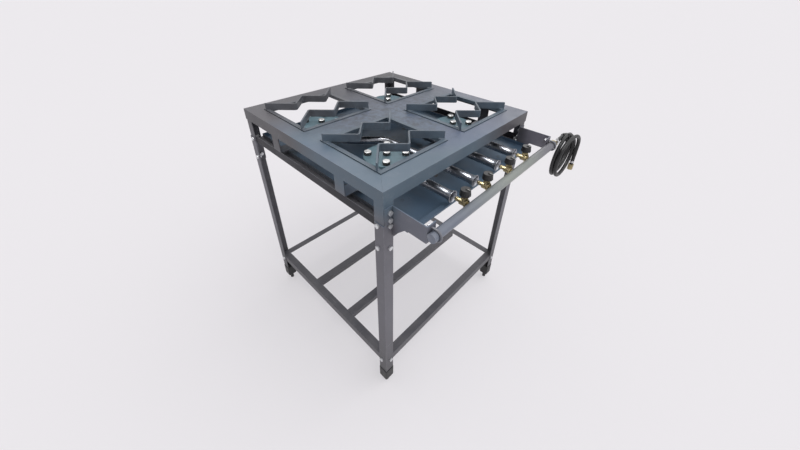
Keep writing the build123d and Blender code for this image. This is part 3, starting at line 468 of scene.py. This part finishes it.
def make_frame_paint():
    """Blue-grey enamel on folded steel, greyer on the legs, with painted shade and grime on their
    inward faces under the table, darker towards the floor, and painted light on the far bracket.

    The table's upward faces take a bluer, lighter copy of the paint as painted sky light, with a
    painted sheen to the right, browner to the rear with painted shade at the rear right, and sooty
    at its middle.
    """
    material, tree, shader = start_material("frame_paint", 0.0, 0.4)
    skin = put_group(tree, paint_skin)
    place = axes_of(tree, own_place(tree))

    def within(axis, zone):
        return ramp(tree, place[axis], *zone)

    def drifting(tones):
        return mix_colour(tree, skin["Drift"], *tones)

    # painted shade with grime: inward faces under the table are darkened
    inner = share(tree, put_group(tree, inner_faces)["Mask"], within("Z", UNDER_TABLE_Z))
    sides = cover(tree, drifting(LEG_PAINT), INNER_SHADE_AND_GRIME, inner, 0.6)
    # darker towards the floor
    sides = cover(tree, sides, NEAR_FLOOR_DARK, within("Z", NEAR_FLOOR_Z), 0.62)
    dull = math_node(tree, "MAXIMUM", within("Y", DULL_Y), within("X", DULL_X))
    lips = mix_colour(tree, dull, LIP_COOL, LIP_DULL)
    sides = cover(tree, sides, lips, within("Z", LIPS_Z), 0.85)
    # painted light on the far bracket's shaded inner face
    bracket = mix_colour(
        tree, within("X", BRACKETS_X), drifting(NEAR_BRACKET), drifting(FAR_BRACKET_PAINTED_LIGHT))
    sides = mix_colour(tree, within("Y", BRACKETS_Y), sides, bracket)

    table = mix_colour(tree, skin["Hue"], drifting(TABLE_COOL), drifting(TABLE_GREEN))
    # painted sheen towards the right
    table = cover(tree, table, TABLE_SHEEN, within("X", SHEEN_X), 0.6)
    # browner to the rear, and painted shade at the rear right
    browned = mix_colour(tree, within("X", BROWN_AND_SHADE_X), BROWN_LEFT, BROWN_SHADE_RIGHT)
    table = cover(tree, table, browned, within("Y", BROWN_AND_SHADE_Y), 0.85)
    soot = put_group(tree, flame_soot, Across=0.0, Along=0.0, Inside=0.16, Reach=0.36)
    table = cover(tree, table, TABLE_SOOT, soot["Mask"], 0.95)
    # painted sky light: upward faces high on the frame take the table's colours
    skylit_tops = share(tree, put_group(tree, upward_faces)["Mask"], within("Z", TABLE_Z))

    body = mix_colour(tree, skylit_tops, sides, table)
    body = cover(tree, body, (0.3, 0.29, 0.28), skin["Dust"], 0.16)
    body = cover(tree, body, (0.25, 0.27, 0.3), skin["Rubbed"], 0.2)
    body = cover(tree, body, (0.32, 0.34, 0.36), skin["Scratch"], 0.32)
    body = worn_edges(tree, body, (0.3, 0.32, 0.35), 0.7, Width=0.0016)
    gloss = mix_value(tree, skin["Drift"], 0.36, 0.48)
    surface(tree, shader, body, mix_value(tree, skin["Dust"], gloss, 0.62))
    bump(tree, shader, skin["Peel"], 0.1, 0.0005)
    return material


def make_pipe_paint():
    """A paler coat on the gas pipe, lighter and yellower along its middle as a painted sheen, and
    dull at its inlet end.
    """
    material, tree, shader = start_material("pipe_paint", 0.0, 0.5)
    skin = put_group(tree, paint_skin)
    along = axes_of(tree, own_place(tree))["X"]
    cool = mix_colour(tree, skin["Drift"], (0.13, 0.148, 0.19), (0.166, 0.186, 0.232))
    # painted sheen: the middle of the pipe lighter and yellower
    sheen_yellow = mix_colour(tree, skin["Drift"], (0.2, 0.218, 0.205), (0.255, 0.273, 0.253))
    body = mix_colour(tree, ramp(tree, along, -0.26, 0.0), cool, sheen_yellow)
    body = mix_colour(tree, ramp(tree, along, 0.15, 0.27), body, (0.135, 0.134, 0.155))
    body = cover(tree, body, (0.33, 0.34, 0.34), skin["Rubbed"], 0.35)
    body = cover(tree, body, (0.38, 0.39, 0.39), skin["Scratch"], 0.4)
    body = worn_edges(tree, body, (0.36, 0.37, 0.38), 0.7, Width=0.0016)
    surface(tree, shader, body, mix_value(tree, skin["Drift"], 0.34, 0.46))
    bump(tree, shader, skin["Peel"], 0.1, 0.0005)
    return material


def greasy_paint(name, light, dark, old_grease, specular, painted_side_light=0.0, dust_and_light=0.0):
    """The same enamel under a film of old grease, with painted light on its outer sides, and pale
    dust with painted light on its flat faces.
    """
    material, tree, shader = start_material(name, 0.0, specular)
    skin = put_group(tree, paint_skin)
    drips = put_group(tree, grease)
    flat = put_group(tree, upward_faces)["Mask"]
    drops = share(tree, drips["Spots"], flat)
    body = mix_colour(tree, skin["Drift"], dark, light)
    body = cover(tree, body, old_grease, drips["Film"], 0.5)
    # painted light: the outer side walls, which lie in shade, lifted pale
    body = cover(tree, body, (0.2, 0.21, 0.235), put_group(tree, outer_sides)["Mask"], painted_side_light)
    # pale dust and painted light on flat faces, which lie in shade
    body = cover(tree, body, (0.24, 0.236, 0.255), flat, dust_and_light)
    body = cover(tree, body, (0.024, 0.022, 0.02), drops, 0.75)
    body = worn_edges(tree, body, (0.17, 0.19, 0.21), 0.6, Width=0.0014)
    matt = mix_value(tree, drips["Film"], 0.42, 0.58)
    surface(tree, shader, body, mix_value(tree, drops, matt, 0.38))
    bump(tree, shader, math_node(tree, "ADD", skin["Peel"], drops), 0.1, 0.0005)
    return material


def make_grate_iron():
    """Flat bar and ring, once painted, scaled by the flames and bare along its edges."""
    material, tree, shader = start_material("grate_iron", 0.0, 0.45)
    grain = put_group(tree, cast_grain, Grain=900)
    to_rear = ramp(tree, axes_of(tree, own_place(tree))["Y"], -0.05, 0.2)
    cool = mix_colour(tree, grain["Tone"], (0.068, 0.096, 0.128), (0.1, 0.138, 0.178))
    browned = mix_colour(tree, grain["Tone"], (0.084, 0.088, 0.1), (0.122, 0.126, 0.142))
    body = mix_colour(tree, to_rear, cool, browned)
    burnt = put_group(tree, flame_soot, Across=0.184, Inside=0.05, Reach=0.14)
    body = cover(tree, body, (0.055, 0.05, 0.05), burnt["Mask"], 0.6)
    body = cover(tree, body, (0.05, 0.047, 0.045), grain["Pits"], 0.45)
    body = worn_edges(tree, body, (0.34, 0.36, 0.38), 0.85, Width=0.0022, Breakup=45)
    surface(tree, shader, body, mix_value(tree, grain["Tone"], 0.4, 0.55))
    bump(tree, shader, grain["Height"], 0.12, 0.0006)
    return material


def make_burner_iron():
    """Cast burner in grey-green paint, smoked round its jets and rusty in its pits."""
    material, tree, shader = start_material("burner_iron", 0.15, 0.45)
    grain = put_group(tree, cast_grain, Grain=650)
    body = mix_colour(tree, grain["Tone"], (0.102, 0.182, 0.22), (0.146, 0.246, 0.292))
    body = cover(tree, body, (0.13, 0.12, 0.1), grain["Pits"], 0.5)
    smoke = put_group(tree, flame_soot, Inside=0.02, Reach=0.085)
    body = cover(tree, body, (0.06, 0.062, 0.064), smoke["Mask"], 0.28)
    body = worn_edges(tree, body, (0.3, 0.36, 0.39), 0.6, Width=0.002, Breakup=60)
    surface(tree, shader, body, mix_value(tree, grain["Tone"], 0.38, 0.55))
    bump(tree, shader, grain["Height"], 0.25, 0.0008)
    return material


def make_jet_metal():
    """Turned jets: light on top and dark down their sides and in their slots, a painted highlight
    and painted shade set by which way a face looks.
    """
    material, tree, shader = start_material("jet_metal", 1.0)
    marks = put_group(tree, turning_marks, Fineness=120)
    top = mix_colour(tree, marks["Tone"], (0.5, 0.5, 0.5), (0.68, 0.68, 0.67))
    top = cover(tree, top, (0.25, 0.23, 0.21), marks["Spots"], 0.5)
    # painted highlight on faces that look up, painted shade down the sides
    lit_tops = put_group(tree, upward_faces, From=0.35, To=0.8)["Mask"]
    body = mix_colour(tree, lit_tops, (0.11, 0.11, 0.11), top)
    surface(tree, shader, body, mix_value(tree, lit_tops, 0.5, 0.34))
    bump(tree, shader, marks["Height"], 0.1, 0.0003)
    return material


def metal_material(name, light, dark, spot, roughness, metallic=1.0, fineness=60):
    """Bare or plated metal with drawing or turning marks, a slow tarnish and small spots."""
    material, tree, shader = start_material(name, metallic)
    marks = put_group(tree, turning_marks, Fineness=fineness)
    body = mix_colour(tree, marks["Tone"], dark, light)
    body = cover(tree, body, spot, marks["Spots"], 0.6)
    body = worn_edges(tree, body, light, 0.4, Width=0.0008)
    surface(tree, shader, body, mix_value(tree, marks["Tone"], roughness[1], roughness[0]))
    bump(tree, shader, marks["Height"], 0.08, 0.0003)
    return material


def moulded_material(name, light, dark, roughness, grain=900):
    """Moulded plastic or rubber: fine pebble grain, a bloom of dust and pale rubbed edges."""
    material, tree, shader = start_material(name, 0.0, 0.45)
    pebble = noise(tree, grain, 2, 0.5)
    bloom = ramp(tree, noise(tree, 45, 4, 0.65), 0.35, 0.75)
    body = mix_colour(tree, bloom, dark, light)
    body = worn_edges(tree, body, (0.14, 0.14, 0.14), 0.6, Width=0.001)
    surface(tree, shader, body, mix_value(tree, bloom, *roughness))
    bump(tree, shader, pebble, 0.15, 0.0003)
    return material


def make_u_bolt_zinc():
    """Plated U-bolts, painted over with the pipe at their bows, with threads at their tails."""
    thread_pitch = 1 * MM
    material, tree, shader = start_material("u_bolt_zinc", 0.6)
    along = axes_of(tree, own_place(tree))["Y"]
    tail = ramp(tree, along, -0.4885, -0.4870)
    skin = put_group(tree, paint_skin)
    paint = mix_colour(tree, skin["Drift"], (0.125, 0.13, 0.15), (0.17, 0.175, 0.2))
    plate = mix_colour(tree, skin["Drift"], (0.6, 0.61, 0.63), (0.8, 0.8, 0.8))
    body = mix_colour(tree, tail, paint, plate)
    surface(tree, shader, body, mix_value(tree, tail, 0.42, 0.28))
    tree.links.new(tail, shader.inputs["Metallic"])
    thread = math_node(tree, "SINE", share(tree, along, 2 * pi / thread_pitch))
    bump(tree, shader, share(tree, thread, tail), 0.4, 0.0003)
    return material


def make_mark_white():
    """Filled line on a knob, rubbed by thumbs."""
    material, tree, shader = start_material("mark_white", 0.0, 0.4)
    rubbed = ramp(tree, noise(tree, 700, 4, 0.7), 0.5, 0.68)
    body = mix_colour(tree, rubbed, (0.74, 0.73, 0.7), (0.3, 0.3, 0.29))
    surface(tree, shader, body, mix_value(tree, rubbed, 0.4, 0.6))
    return material


frame_paint = make_frame_paint()
pipe_paint = make_pipe_paint()
# the tray's outer walls take painted light
tray_paint = greasy_paint(
    "tray_paint", light=(0.09, 0.148, 0.214), dark=(0.063, 0.109, 0.168),
    old_grease=(0.056, 0.084, 0.126), specular=0.34, painted_side_light=0.8)
# the runners' flat faces take pale dust and painted light
runner_paint = greasy_paint(
    "runner_paint", light=(0.036, 0.036, 0.044), dark=(0.022, 0.022, 0.028),
    old_grease=(0.022, 0.02, 0.021), specular=0.2, dust_and_light=0.9)
grate_iron = make_grate_iron()
burner_iron = make_burner_iron()
jet_metal = make_jet_metal()
tube_steel = metal_material(
    "tube_steel", light=(0.46, 0.47, 0.5), dark=(0.24, 0.25, 0.28), spot=(0.12, 0.1, 0.09),
    roughness=(0.22, 0.36))
brass = metal_material(
    "brass", light=(0.43, 0.36, 0.2), dark=(0.15, 0.125, 0.08), spot=(0.07, 0.06, 0.05),
    roughness=(0.22, 0.4), fineness=120)
zinc = metal_material(
    "zinc", light=(0.78, 0.79, 0.8), dark=(0.56, 0.57, 0.59), spot=(0.3, 0.28, 0.26),
    roughness=(0.28, 0.42), metallic=0.7, fineness=150)
clamp_steel = metal_material(
    "clamp_steel", light=(0.7, 0.7, 0.71), dark=(0.48, 0.48, 0.5), spot=(0.22, 0.2, 0.18),
    roughness=(0.2, 0.34), fineness=200)
knob_black = moulded_material(
    "knob_black", light=(0.022, 0.022, 0.023), dark=(0.01, 0.01, 0.011), roughness=(0.3, 0.46))
foot_black = moulded_material(
    "foot_black", light=(0.024, 0.023, 0.024), dark=(0.009, 0.009, 0.01), roughness=(0.42, 0.6))
hose_rubber = moulded_material(
    "hose_rubber", light=(0.022, 0.022, 0.023), dark=(0.01, 0.01, 0.011),
    roughness=(0.36, 0.55), grain=500)
tie_black = moulded_material(
    "tie_black", light=(0.045, 0.045, 0.045), dark=(0.02, 0.02, 0.02), roughness=(0.38, 0.52))
u_bolt_zinc = make_u_bolt_zinc()
mark_white = make_mark_white()

finish_of_slot = {
    "frame_paint": frame_paint,
    "grate_iron": grate_iron,
    "burner_iron": burner_iron,
    "jet_metal": jet_metal,
    "tube_steel": tube_steel,
    "brass": brass,
    "zinc": zinc,
    "knob_black": knob_black,
    "foot_black": foot_black,
    "hose_rubber": hose_rubber,
    "tie_black": tie_black,
}
finish_of_node = {
    "manifold_pipe": pipe_paint,
    "drip_tray": tray_paint,
    "tray_runner_left": runner_paint,
    "tray_runner_right": runner_paint,
    "pipe_u_bolts": u_bolt_zinc,
}


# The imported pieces: finish, and a small soft edge where sheet is folded or cut

WELD_WITHIN = 0.02 * MM
FLAT_WITHIN = radians(0.5)
SOFT_EDGE = 0.5 * MM
SOFTENED_FROM = radians(32)


def dress_packed_pieces():
    for piece in frame["record"]["subparts"]:
        name = piece["node"]
        node = nodes[name]
        node.data.materials.clear()
        finish = finish_of_node.get(name, finish_of_slot[piece["material_slot"]])
        node.data.materials.append(finish)
        node.data.polygons.foreach_set("use_smooth", [True] * len(node.data.polygons))
        weld = node.modifiers.new("weld", "WELD")
        weld.merge_threshold = WELD_WITHIN
        plain = node.modifiers.new("plain_faces", "DECIMATE")
        plain.decimate_type = "DISSOLVE"
        plain.angle_limit = FLAT_WITHIN
        soften = node.modifiers.new("soft_edge", "BEVEL")
        soften.width = SOFT_EDGE
        soften.segments = 2
        soften.limit_method = "ANGLE"
        soften.angle_limit = SOFTENED_FROM
        even = node.modifiers.new("even_faces", "WEIGHTED_NORMAL")
        even.mode = "FACE_AREA"
        even.weight = 100


# Gas hose: one length from the inlet nipple, wound in a hung coil, ending in its fitting

HOSE_D = 14 * MM
HOSE_EXIT = Vector((355, -504, 839.3)) * MM
HOSE_LEAD = Vector((45, 0, 0)) * MM
COIL_X, COIL_Z = 447 * MM, 764.3 * MM
COIL_R = 75 * MM
COIL_STEP_OUT = 7.05 * MM
COIL_STEP_FORWARD = 14.1 * MM
COIL_POINT_EVERY = 30
# Where the coil steps: degrees from its top, then steps out from its middle turn, then forward
COIL_STATIONS = (
    (0, 0, 0), (90, 1, 0), (270, 1, 1), (360, 1, 1), (540, -1, 1), (720, -1, 2),
    (900, 1, 2), (990, 1, 2), (1125, 1, 3), (1170, 0, 3),
)
TAIL_DOWN = Vector((0, 0, 62)) * MM


def coil_steps(angle):
    """How far out and forward the coil has stepped, eased from station to station."""
    for (a0, out0, fwd0), (a1, out1, fwd1) in zip(COIL_STATIONS, COIL_STATIONS[1:]):
        if a0 <= angle <= a1:
            part = (angle - a0) / (a1 - a0)
            part = part * part * (3 - 2 * part)
            return out0 + (out1 - out0) * part, fwd0 + (fwd1 - fwd0) * part


def hose_points():
    """Control points of the hose, which lie outside the coil so that the curve keeps its radius."""
    last = COIL_STATIONS[-1][0]
    outside = 1 / cos(radians(COIL_POINT_EVERY / 2))
    points = [HOSE_EXIT.copy(), HOSE_EXIT + HOSE_LEAD]
    for angle in range(0, last + 1, COIL_POINT_EVERY):
        out, forward = coil_steps(angle)
        radius = COIL_R + out * COIL_STEP_OUT
        if 0 < angle < last:
            radius *= outside
        turn = radians(angle)
        points.append(Vector((
            COIL_X + radius * sin(turn),
            HOSE_EXIT.y - forward * COIL_STEP_FORWARD,
            COIL_Z + radius * cos(turn),
        )))
    end = points[-1]
    return points + [end - TAIL_DOWN / 2, end - TAIL_DOWN]


def make_hose(clamps):
    curve = bpy.data.curves.new("gas_hose_line", "CURVE")
    curve.dimensions = "3D"
    curve.bevel_depth = HOSE_D / 2
    curve.bevel_resolution = 5
    curve.resolution_u = 6
    curve.use_fill_caps = True
    points = hose_points()
    line = curve.splines.new("NURBS")
    line.points.add(len(points) - 1)
    for place, point in zip(line.points, points):
        place.co = (*point, 1)
    line.order_u = 3
    line.use_endpoint_u = True
    hose = bpy.data.objects.new("gas_hose_line", curve)
    scene.collection.objects.link(hose)
    curve.materials.append(hose_rubber)
    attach(hose, "stove_frame")
    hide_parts("gas_hose", "gas_hose_coil")


# Small pieces shaped here: hex collars on the taps, hose clamps, knob lines and weld beads

FEED_Z = 839.3 * MM
TAP_Y = -477.15 * MM
TAP_X = {
    "front_left": -175 * MM, "rear_left": -64 * MM,
    "rear_right": 64 * MM, "front_right": 175 * MM,
}
PACKING_NUT_UP = 15 * MM
TAP_GRIP_FORWARD = 7.2 * MM
KNOB_TOP = 884.8 * MM
KNOB_LINE_FORWARD = 8.4 * MM
CLAMP_ON_NIPPLE = HOSE_EXIT + Vector((13 * MM, 0, 0))
CLAMP_ON_END = Vector((522, -546.6, 714)) * MM
CLAMP_SEGMENTS = 32
GRATE_X, GRATE_Y = 184 * MM, 178.5 * MM
GRATE_RING_TOP = 923 * MM
HALF_POT_BAR = 3 * MM
POT_BAR_CROSSES_RING = Vector((133.5, 112.9, 0)) * MM
SHELF_WELD_X, SHELF_WELD_Z = 343 * MM, 171.4 * MM
SHELF_BAR_Y = (-127 * MM, 97 * MM)
WELD_RIPPLES = 9
SMOOTH_UNDER = radians(35)


def clear_selection():
    bpy.ops.object.select_all(action="DESELECT")


def edit():
    bpy.ops.object.mode_set(mode="EDIT")


def leave_edit():
    bpy.ops.object.mode_set(mode="OBJECT")


def apply_place():
    bpy.ops.object.transform_apply(location=True, rotation=True, scale=True)


def turned(degrees, axis):
    return Matrix.Rotation(radians(degrees), 4, axis)


def pick(piece, kind, wanted):
    """In edit mode, selects the wanted faces, edges or points of a piece and no others."""
    bpy.ops.mesh.select_mode(type=kind)
    bpy.ops.mesh.select_all(action="DESELECT")
    shape = bmesh.from_edit_mesh(piece.data)
    for part in {"FACE": shape.faces, "EDGE": shape.edges, "VERT": shape.verts}[kind]:
        if wanted(part):
            part.select_set(True)
    bmesh.update_edit_mesh(piece.data)


def extrude_by(x, y, z):
    bpy.ops.mesh.extrude_region_move(TRANSFORM_OT_translate={"value": (x, y, z)})


def soften_edges(piece, width, segments=2):
    soften = piece.modifiers.new("soft_edge", "BEVEL")
    soften.width = width
    soften.segments = segments
    soften.limit_method = "ANGLE"
    soften.angle_limit = SMOOTH_UNDER
    bpy.context.view_layer.objects.active = piece
    bpy.ops.object.modifier_apply(modifier="soft_edge")


def put(blank, matrix):
    """A copy of a blank with its own mesh, set in its place."""
    piece = blank.copy()
    piece.data = blank.data.copy()
    scene.collection.objects.link(piece)
    piece.matrix_world = matrix
    return piece


def settle(pieces, name, finish, body):
    """Joins pieces that belong together and hands them to the body they move with."""
    clear_selection()
    for piece in pieces:
        piece.select_set(True)
    bpy.context.view_layer.objects.active = pieces[0]
    if len(pieces) > 1:
        bpy.ops.object.join()
    whole = bpy.context.view_layer.objects.active
    apply_place()
    bpy.ops.object.shade_smooth_by_angle(angle=SMOOTH_UNDER)
    whole.name = name
    whole.data.name = name
    whole.data.materials.clear()
    whole.data.materials.append(finish)
    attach(whole, body)
    return whole


def drop(blank):
    bpy.data.objects.remove(blank, do_unlink=True)


def block(place, size):
    """A cuboid, left in edit mode."""
    clear_selection()
    bpy.ops.mesh.primitive_cube_add(size=1, location=place, scale=size)
    apply_place()
    edit()
    return bpy.context.object


def rod_along_x(radius, length, sides, place=(0, 0, 0)):
    """A cylinder on the X axis, left in edit mode."""
    clear_selection()
    bpy.ops.mesh.primitive_cylinder_add(
        vertices=sides, radius=radius, depth=length, location=place, rotation=(0, radians(90), 0))
    apply_place()
    edit()
    return bpy.context.object


def bored_disc(radius, hole, thick, sides):
    """A disc on the Z axis with a hole through it, left in edit mode."""
    clear_selection()
    bpy.ops.mesh.primitive_cylinder_add(vertices=sides, radius=radius, depth=thick)
    disc = bpy.context.object
    edit()
    pick(disc, "FACE", lambda face: abs(face.normal.z) > 0.9)
    bpy.ops.mesh.inset(thickness=radius - hole)
    bpy.ops.mesh.bridge_edge_loops()
    return disc


def hex_collar(across, hole, thick):
    """A hexagonal nut without a thread, cut from a disc."""
    flat_at = across / 2
    collar = bored_disc(flat_at / cos(radians(30)), hole, thick, 24)
    for turn in range(0, 360, 60):
        way = Vector((cos(radians(turn)), sin(radians(turn)), 0))
        bpy.ops.mesh.select_all(action="SELECT")
        bpy.ops.mesh.bisect(
            plane_co=way * flat_at, plane_no=way, use_fill=True, clear_outer=True)
    leave_edit()
    soften_edges(collar, 0.5 * MM, 1)
    return collar


def fit_tap_collars():
    """A packing nut on each tap's tower and a spanner grip on its body."""
    packing_nut = hex_collar(across=19 * MM, hole=8.1 * MM, thick=6 * MM)
    grip = hex_collar(across=22.6 * MM, hole=10.1 * MM, thick=7 * MM)
    lie_back = turned(90, "X") @ turned(30, "Z")
    collars = []
    for x in TAP_X.values():
        on_tower = Matrix.Translation((x, TAP_Y, FEED_Z + PACKING_NUT_UP))
        on_body = Matrix.Translation((x, TAP_Y - TAP_GRIP_FORWARD, FEED_Z)) @ lie_back
        collars += [put(packing_nut, on_tower), put(grip, on_body)]
    settle(collars, "tap_collars", brass, "stove_frame")
    drop(packing_nut)
    drop(grip)


def clamp_blank():
    """A worm clamp on the Z axis: slotted band, screw housing and screw."""
    hose_r = HOSE_D / 2
    band = bored_disc(hose_r + 1 * MM, hose_r + 0.1 * MM, 9 * MM, CLAMP_SEGMENTS)

    def slotted(face):
        middle = face.calc_center_median()
        angle = Vector((1, 0)).angle_signed(middle.xy) if middle.xy.length else 0
        segment = round((pi + angle) / (2 * pi / CLAMP_SEGMENTS) - 0.5)
        outer = middle.xy.length > hose_r + 0.8 * MM and abs(face.normal.z) < 0.1
        return outer and middle.y < 0 and segment % 2 == 0

    pick(band, "FACE", slotted)
    bpy.ops.mesh.inset(thickness=0.35 * MM, use_individual=True)
    bpy.ops.transform.shrink_fatten(value=-0.45 * MM)
    leave_edit()

    housing = block((0, hose_r + 3.2 * MM, 0), (11 * MM, 5 * MM, 10 * MM))
    pick(housing, "FACE", lambda face: face.normal.y > 0.9)
    bpy.ops.transform.resize(value=(0.8, 1, 0.86))
    leave_edit()
    soften_edges(housing, 0.8 * MM)

    screw = rod_along_x(2.6 * MM, 15 * MM, 12, (2 * MM, hose_r + 3.4 * MM, 0))
    pick(screw, "FACE", lambda face: face.normal.x > 0.9)
    extrude_by(0, 0, 0)
    bpy.ops.transform.resize(value=(1, 1.35, 1.35))
    extrude_by(3 * MM, 0, 0)
    bpy.ops.mesh.inset(thickness=1.4 * MM)
    extrude_by(-1.6 * MM, 0, 0)
    leave_edit()

    clear_selection()
    for piece in (housing, screw, band):
        piece.select_set(True)
    bpy.context.view_layer.objects.active = band
    bpy.ops.object.join()
    return band


def fit_hose_clamps():
    """One clamp over the inlet nipple's barb and one over the barb of the hose's end."""
    blank = clamp_blank()
    over_nipple = Matrix.Translation(CLAMP_ON_NIPPLE) @ turned(90, "Y") @ turned(150, "Z")
    over_end = Matrix.Translation(CLAMP_ON_END) @ turned(-90, "Z") @ turned(180, "Y")
    clamps = [
        settle([put(blank, place)], name, clamp_steel, "stove_frame")
        for name, place in (("hose_clamp_inlet", over_nipple), ("hose_clamp_end", over_end))
    ]
    drop(blank)
    return clamps


def draw_knob_lines():
    """A filled line along each knob's pointer."""
    for place, x in TAP_X.items():
        line = block((x, TAP_Y - KNOB_LINE_FORWARD, KNOB_TOP), (1.5 * MM, 8 * MM, 0.4 * MM))
        pick(line, "FACE", lambda face: face.normal.z > 0.9)
        bpy.ops.transform.resize(value=(0.7, 0.95, 1))
        leave_edit()
        soften_edges(line, 0.08 * MM, 1)
        settle([line], f"knob_line_{place}", mark_white, f"knob_{place}")


def weld_blank(length, radius):
    """A weld bead along X, rippled and run out at both ends."""
    bead = rod_along_x(radius, length, 6)

    def lengthwise(edge):
        return abs(edge.verts[0].co.x - edge.verts[1].co.x) > length / 2

    pick(bead, "EDGE", lengthwise)
    bpy.ops.mesh.subdivide(number_cuts=WELD_RIPPLES)
    last = WELD_RIPPLES + 1
    for ring in range(last + 1):
        x = length * (ring / last - 0.5)
        size = 0.55 if ring in (0, last) else (1.05 if ring % 2 else 0.84)
        pick(bead, "VERT", lambda point: abs(point.co.x - x) < length / 60)
        bpy.ops.transform.resize(value=(1, size, size * 0.85), center_override=(x, 0, 0))
    leave_edit()
    return bead


def weld_grate_bars():
    """Beads along both feet of each pot bar, where it crosses the ring near a corner."""
    blank = weld_blank(16 * MM, 2.6 * MM)
    crossing = POT_BAR_CROSSES_RING
    for end, end_name in ((-1, "front"), (1, "rear")):
        for side, side_name in ((-1, "left"), (1, "right")):
            grate = f"{end_name}_{side_name}"
            middle = Vector((side * GRATE_X, end * GRATE_Y, GRATE_RING_TOP))
            beads = []
            for right, back in ((-1, -1), (-1, 1), (1, -1), (1, 1)):
                corner = middle + Vector((right * crossing.x, back * crossing.y, 0))
                across = Vector((-back, right, 0)).normalized()
                for foot in (-1, 1):
                    place = Matrix.Translation(corner + foot * HALF_POT_BAR * across)
                    beads.append(put(blank, place @ turned(45 * right * back, "Z")))
            settle(beads, f"grate_welds_{grate}", grate_iron, f"grate_{grate}")
    drop(blank)


def weld_shelf_bars():
    """A bead across the top of each shelf bar's end, on the lower rails."""
    blank = weld_blank(33 * MM, 2.2 * MM)
    places = [
        Vector((side * SHELF_WELD_X, y, SHELF_WELD_Z))
        for side in (-1, 1) for y in SHELF_BAR_Y
    ]
    beads = [put(blank, Matrix.Translation(place) @ turned(90, "Z")) for place in places]
    settle(beads, "shelf_bar_welds", frame_paint, "stove_frame")
    drop(blank)


place_camera()
light_the_studio()
lay_floor()
dress_packed_pieces()
make_hose(fit_hose_clamps())
fit_tap_collars()
draw_knob_lines()
weld_grate_bars()
weld_shelf_bars()
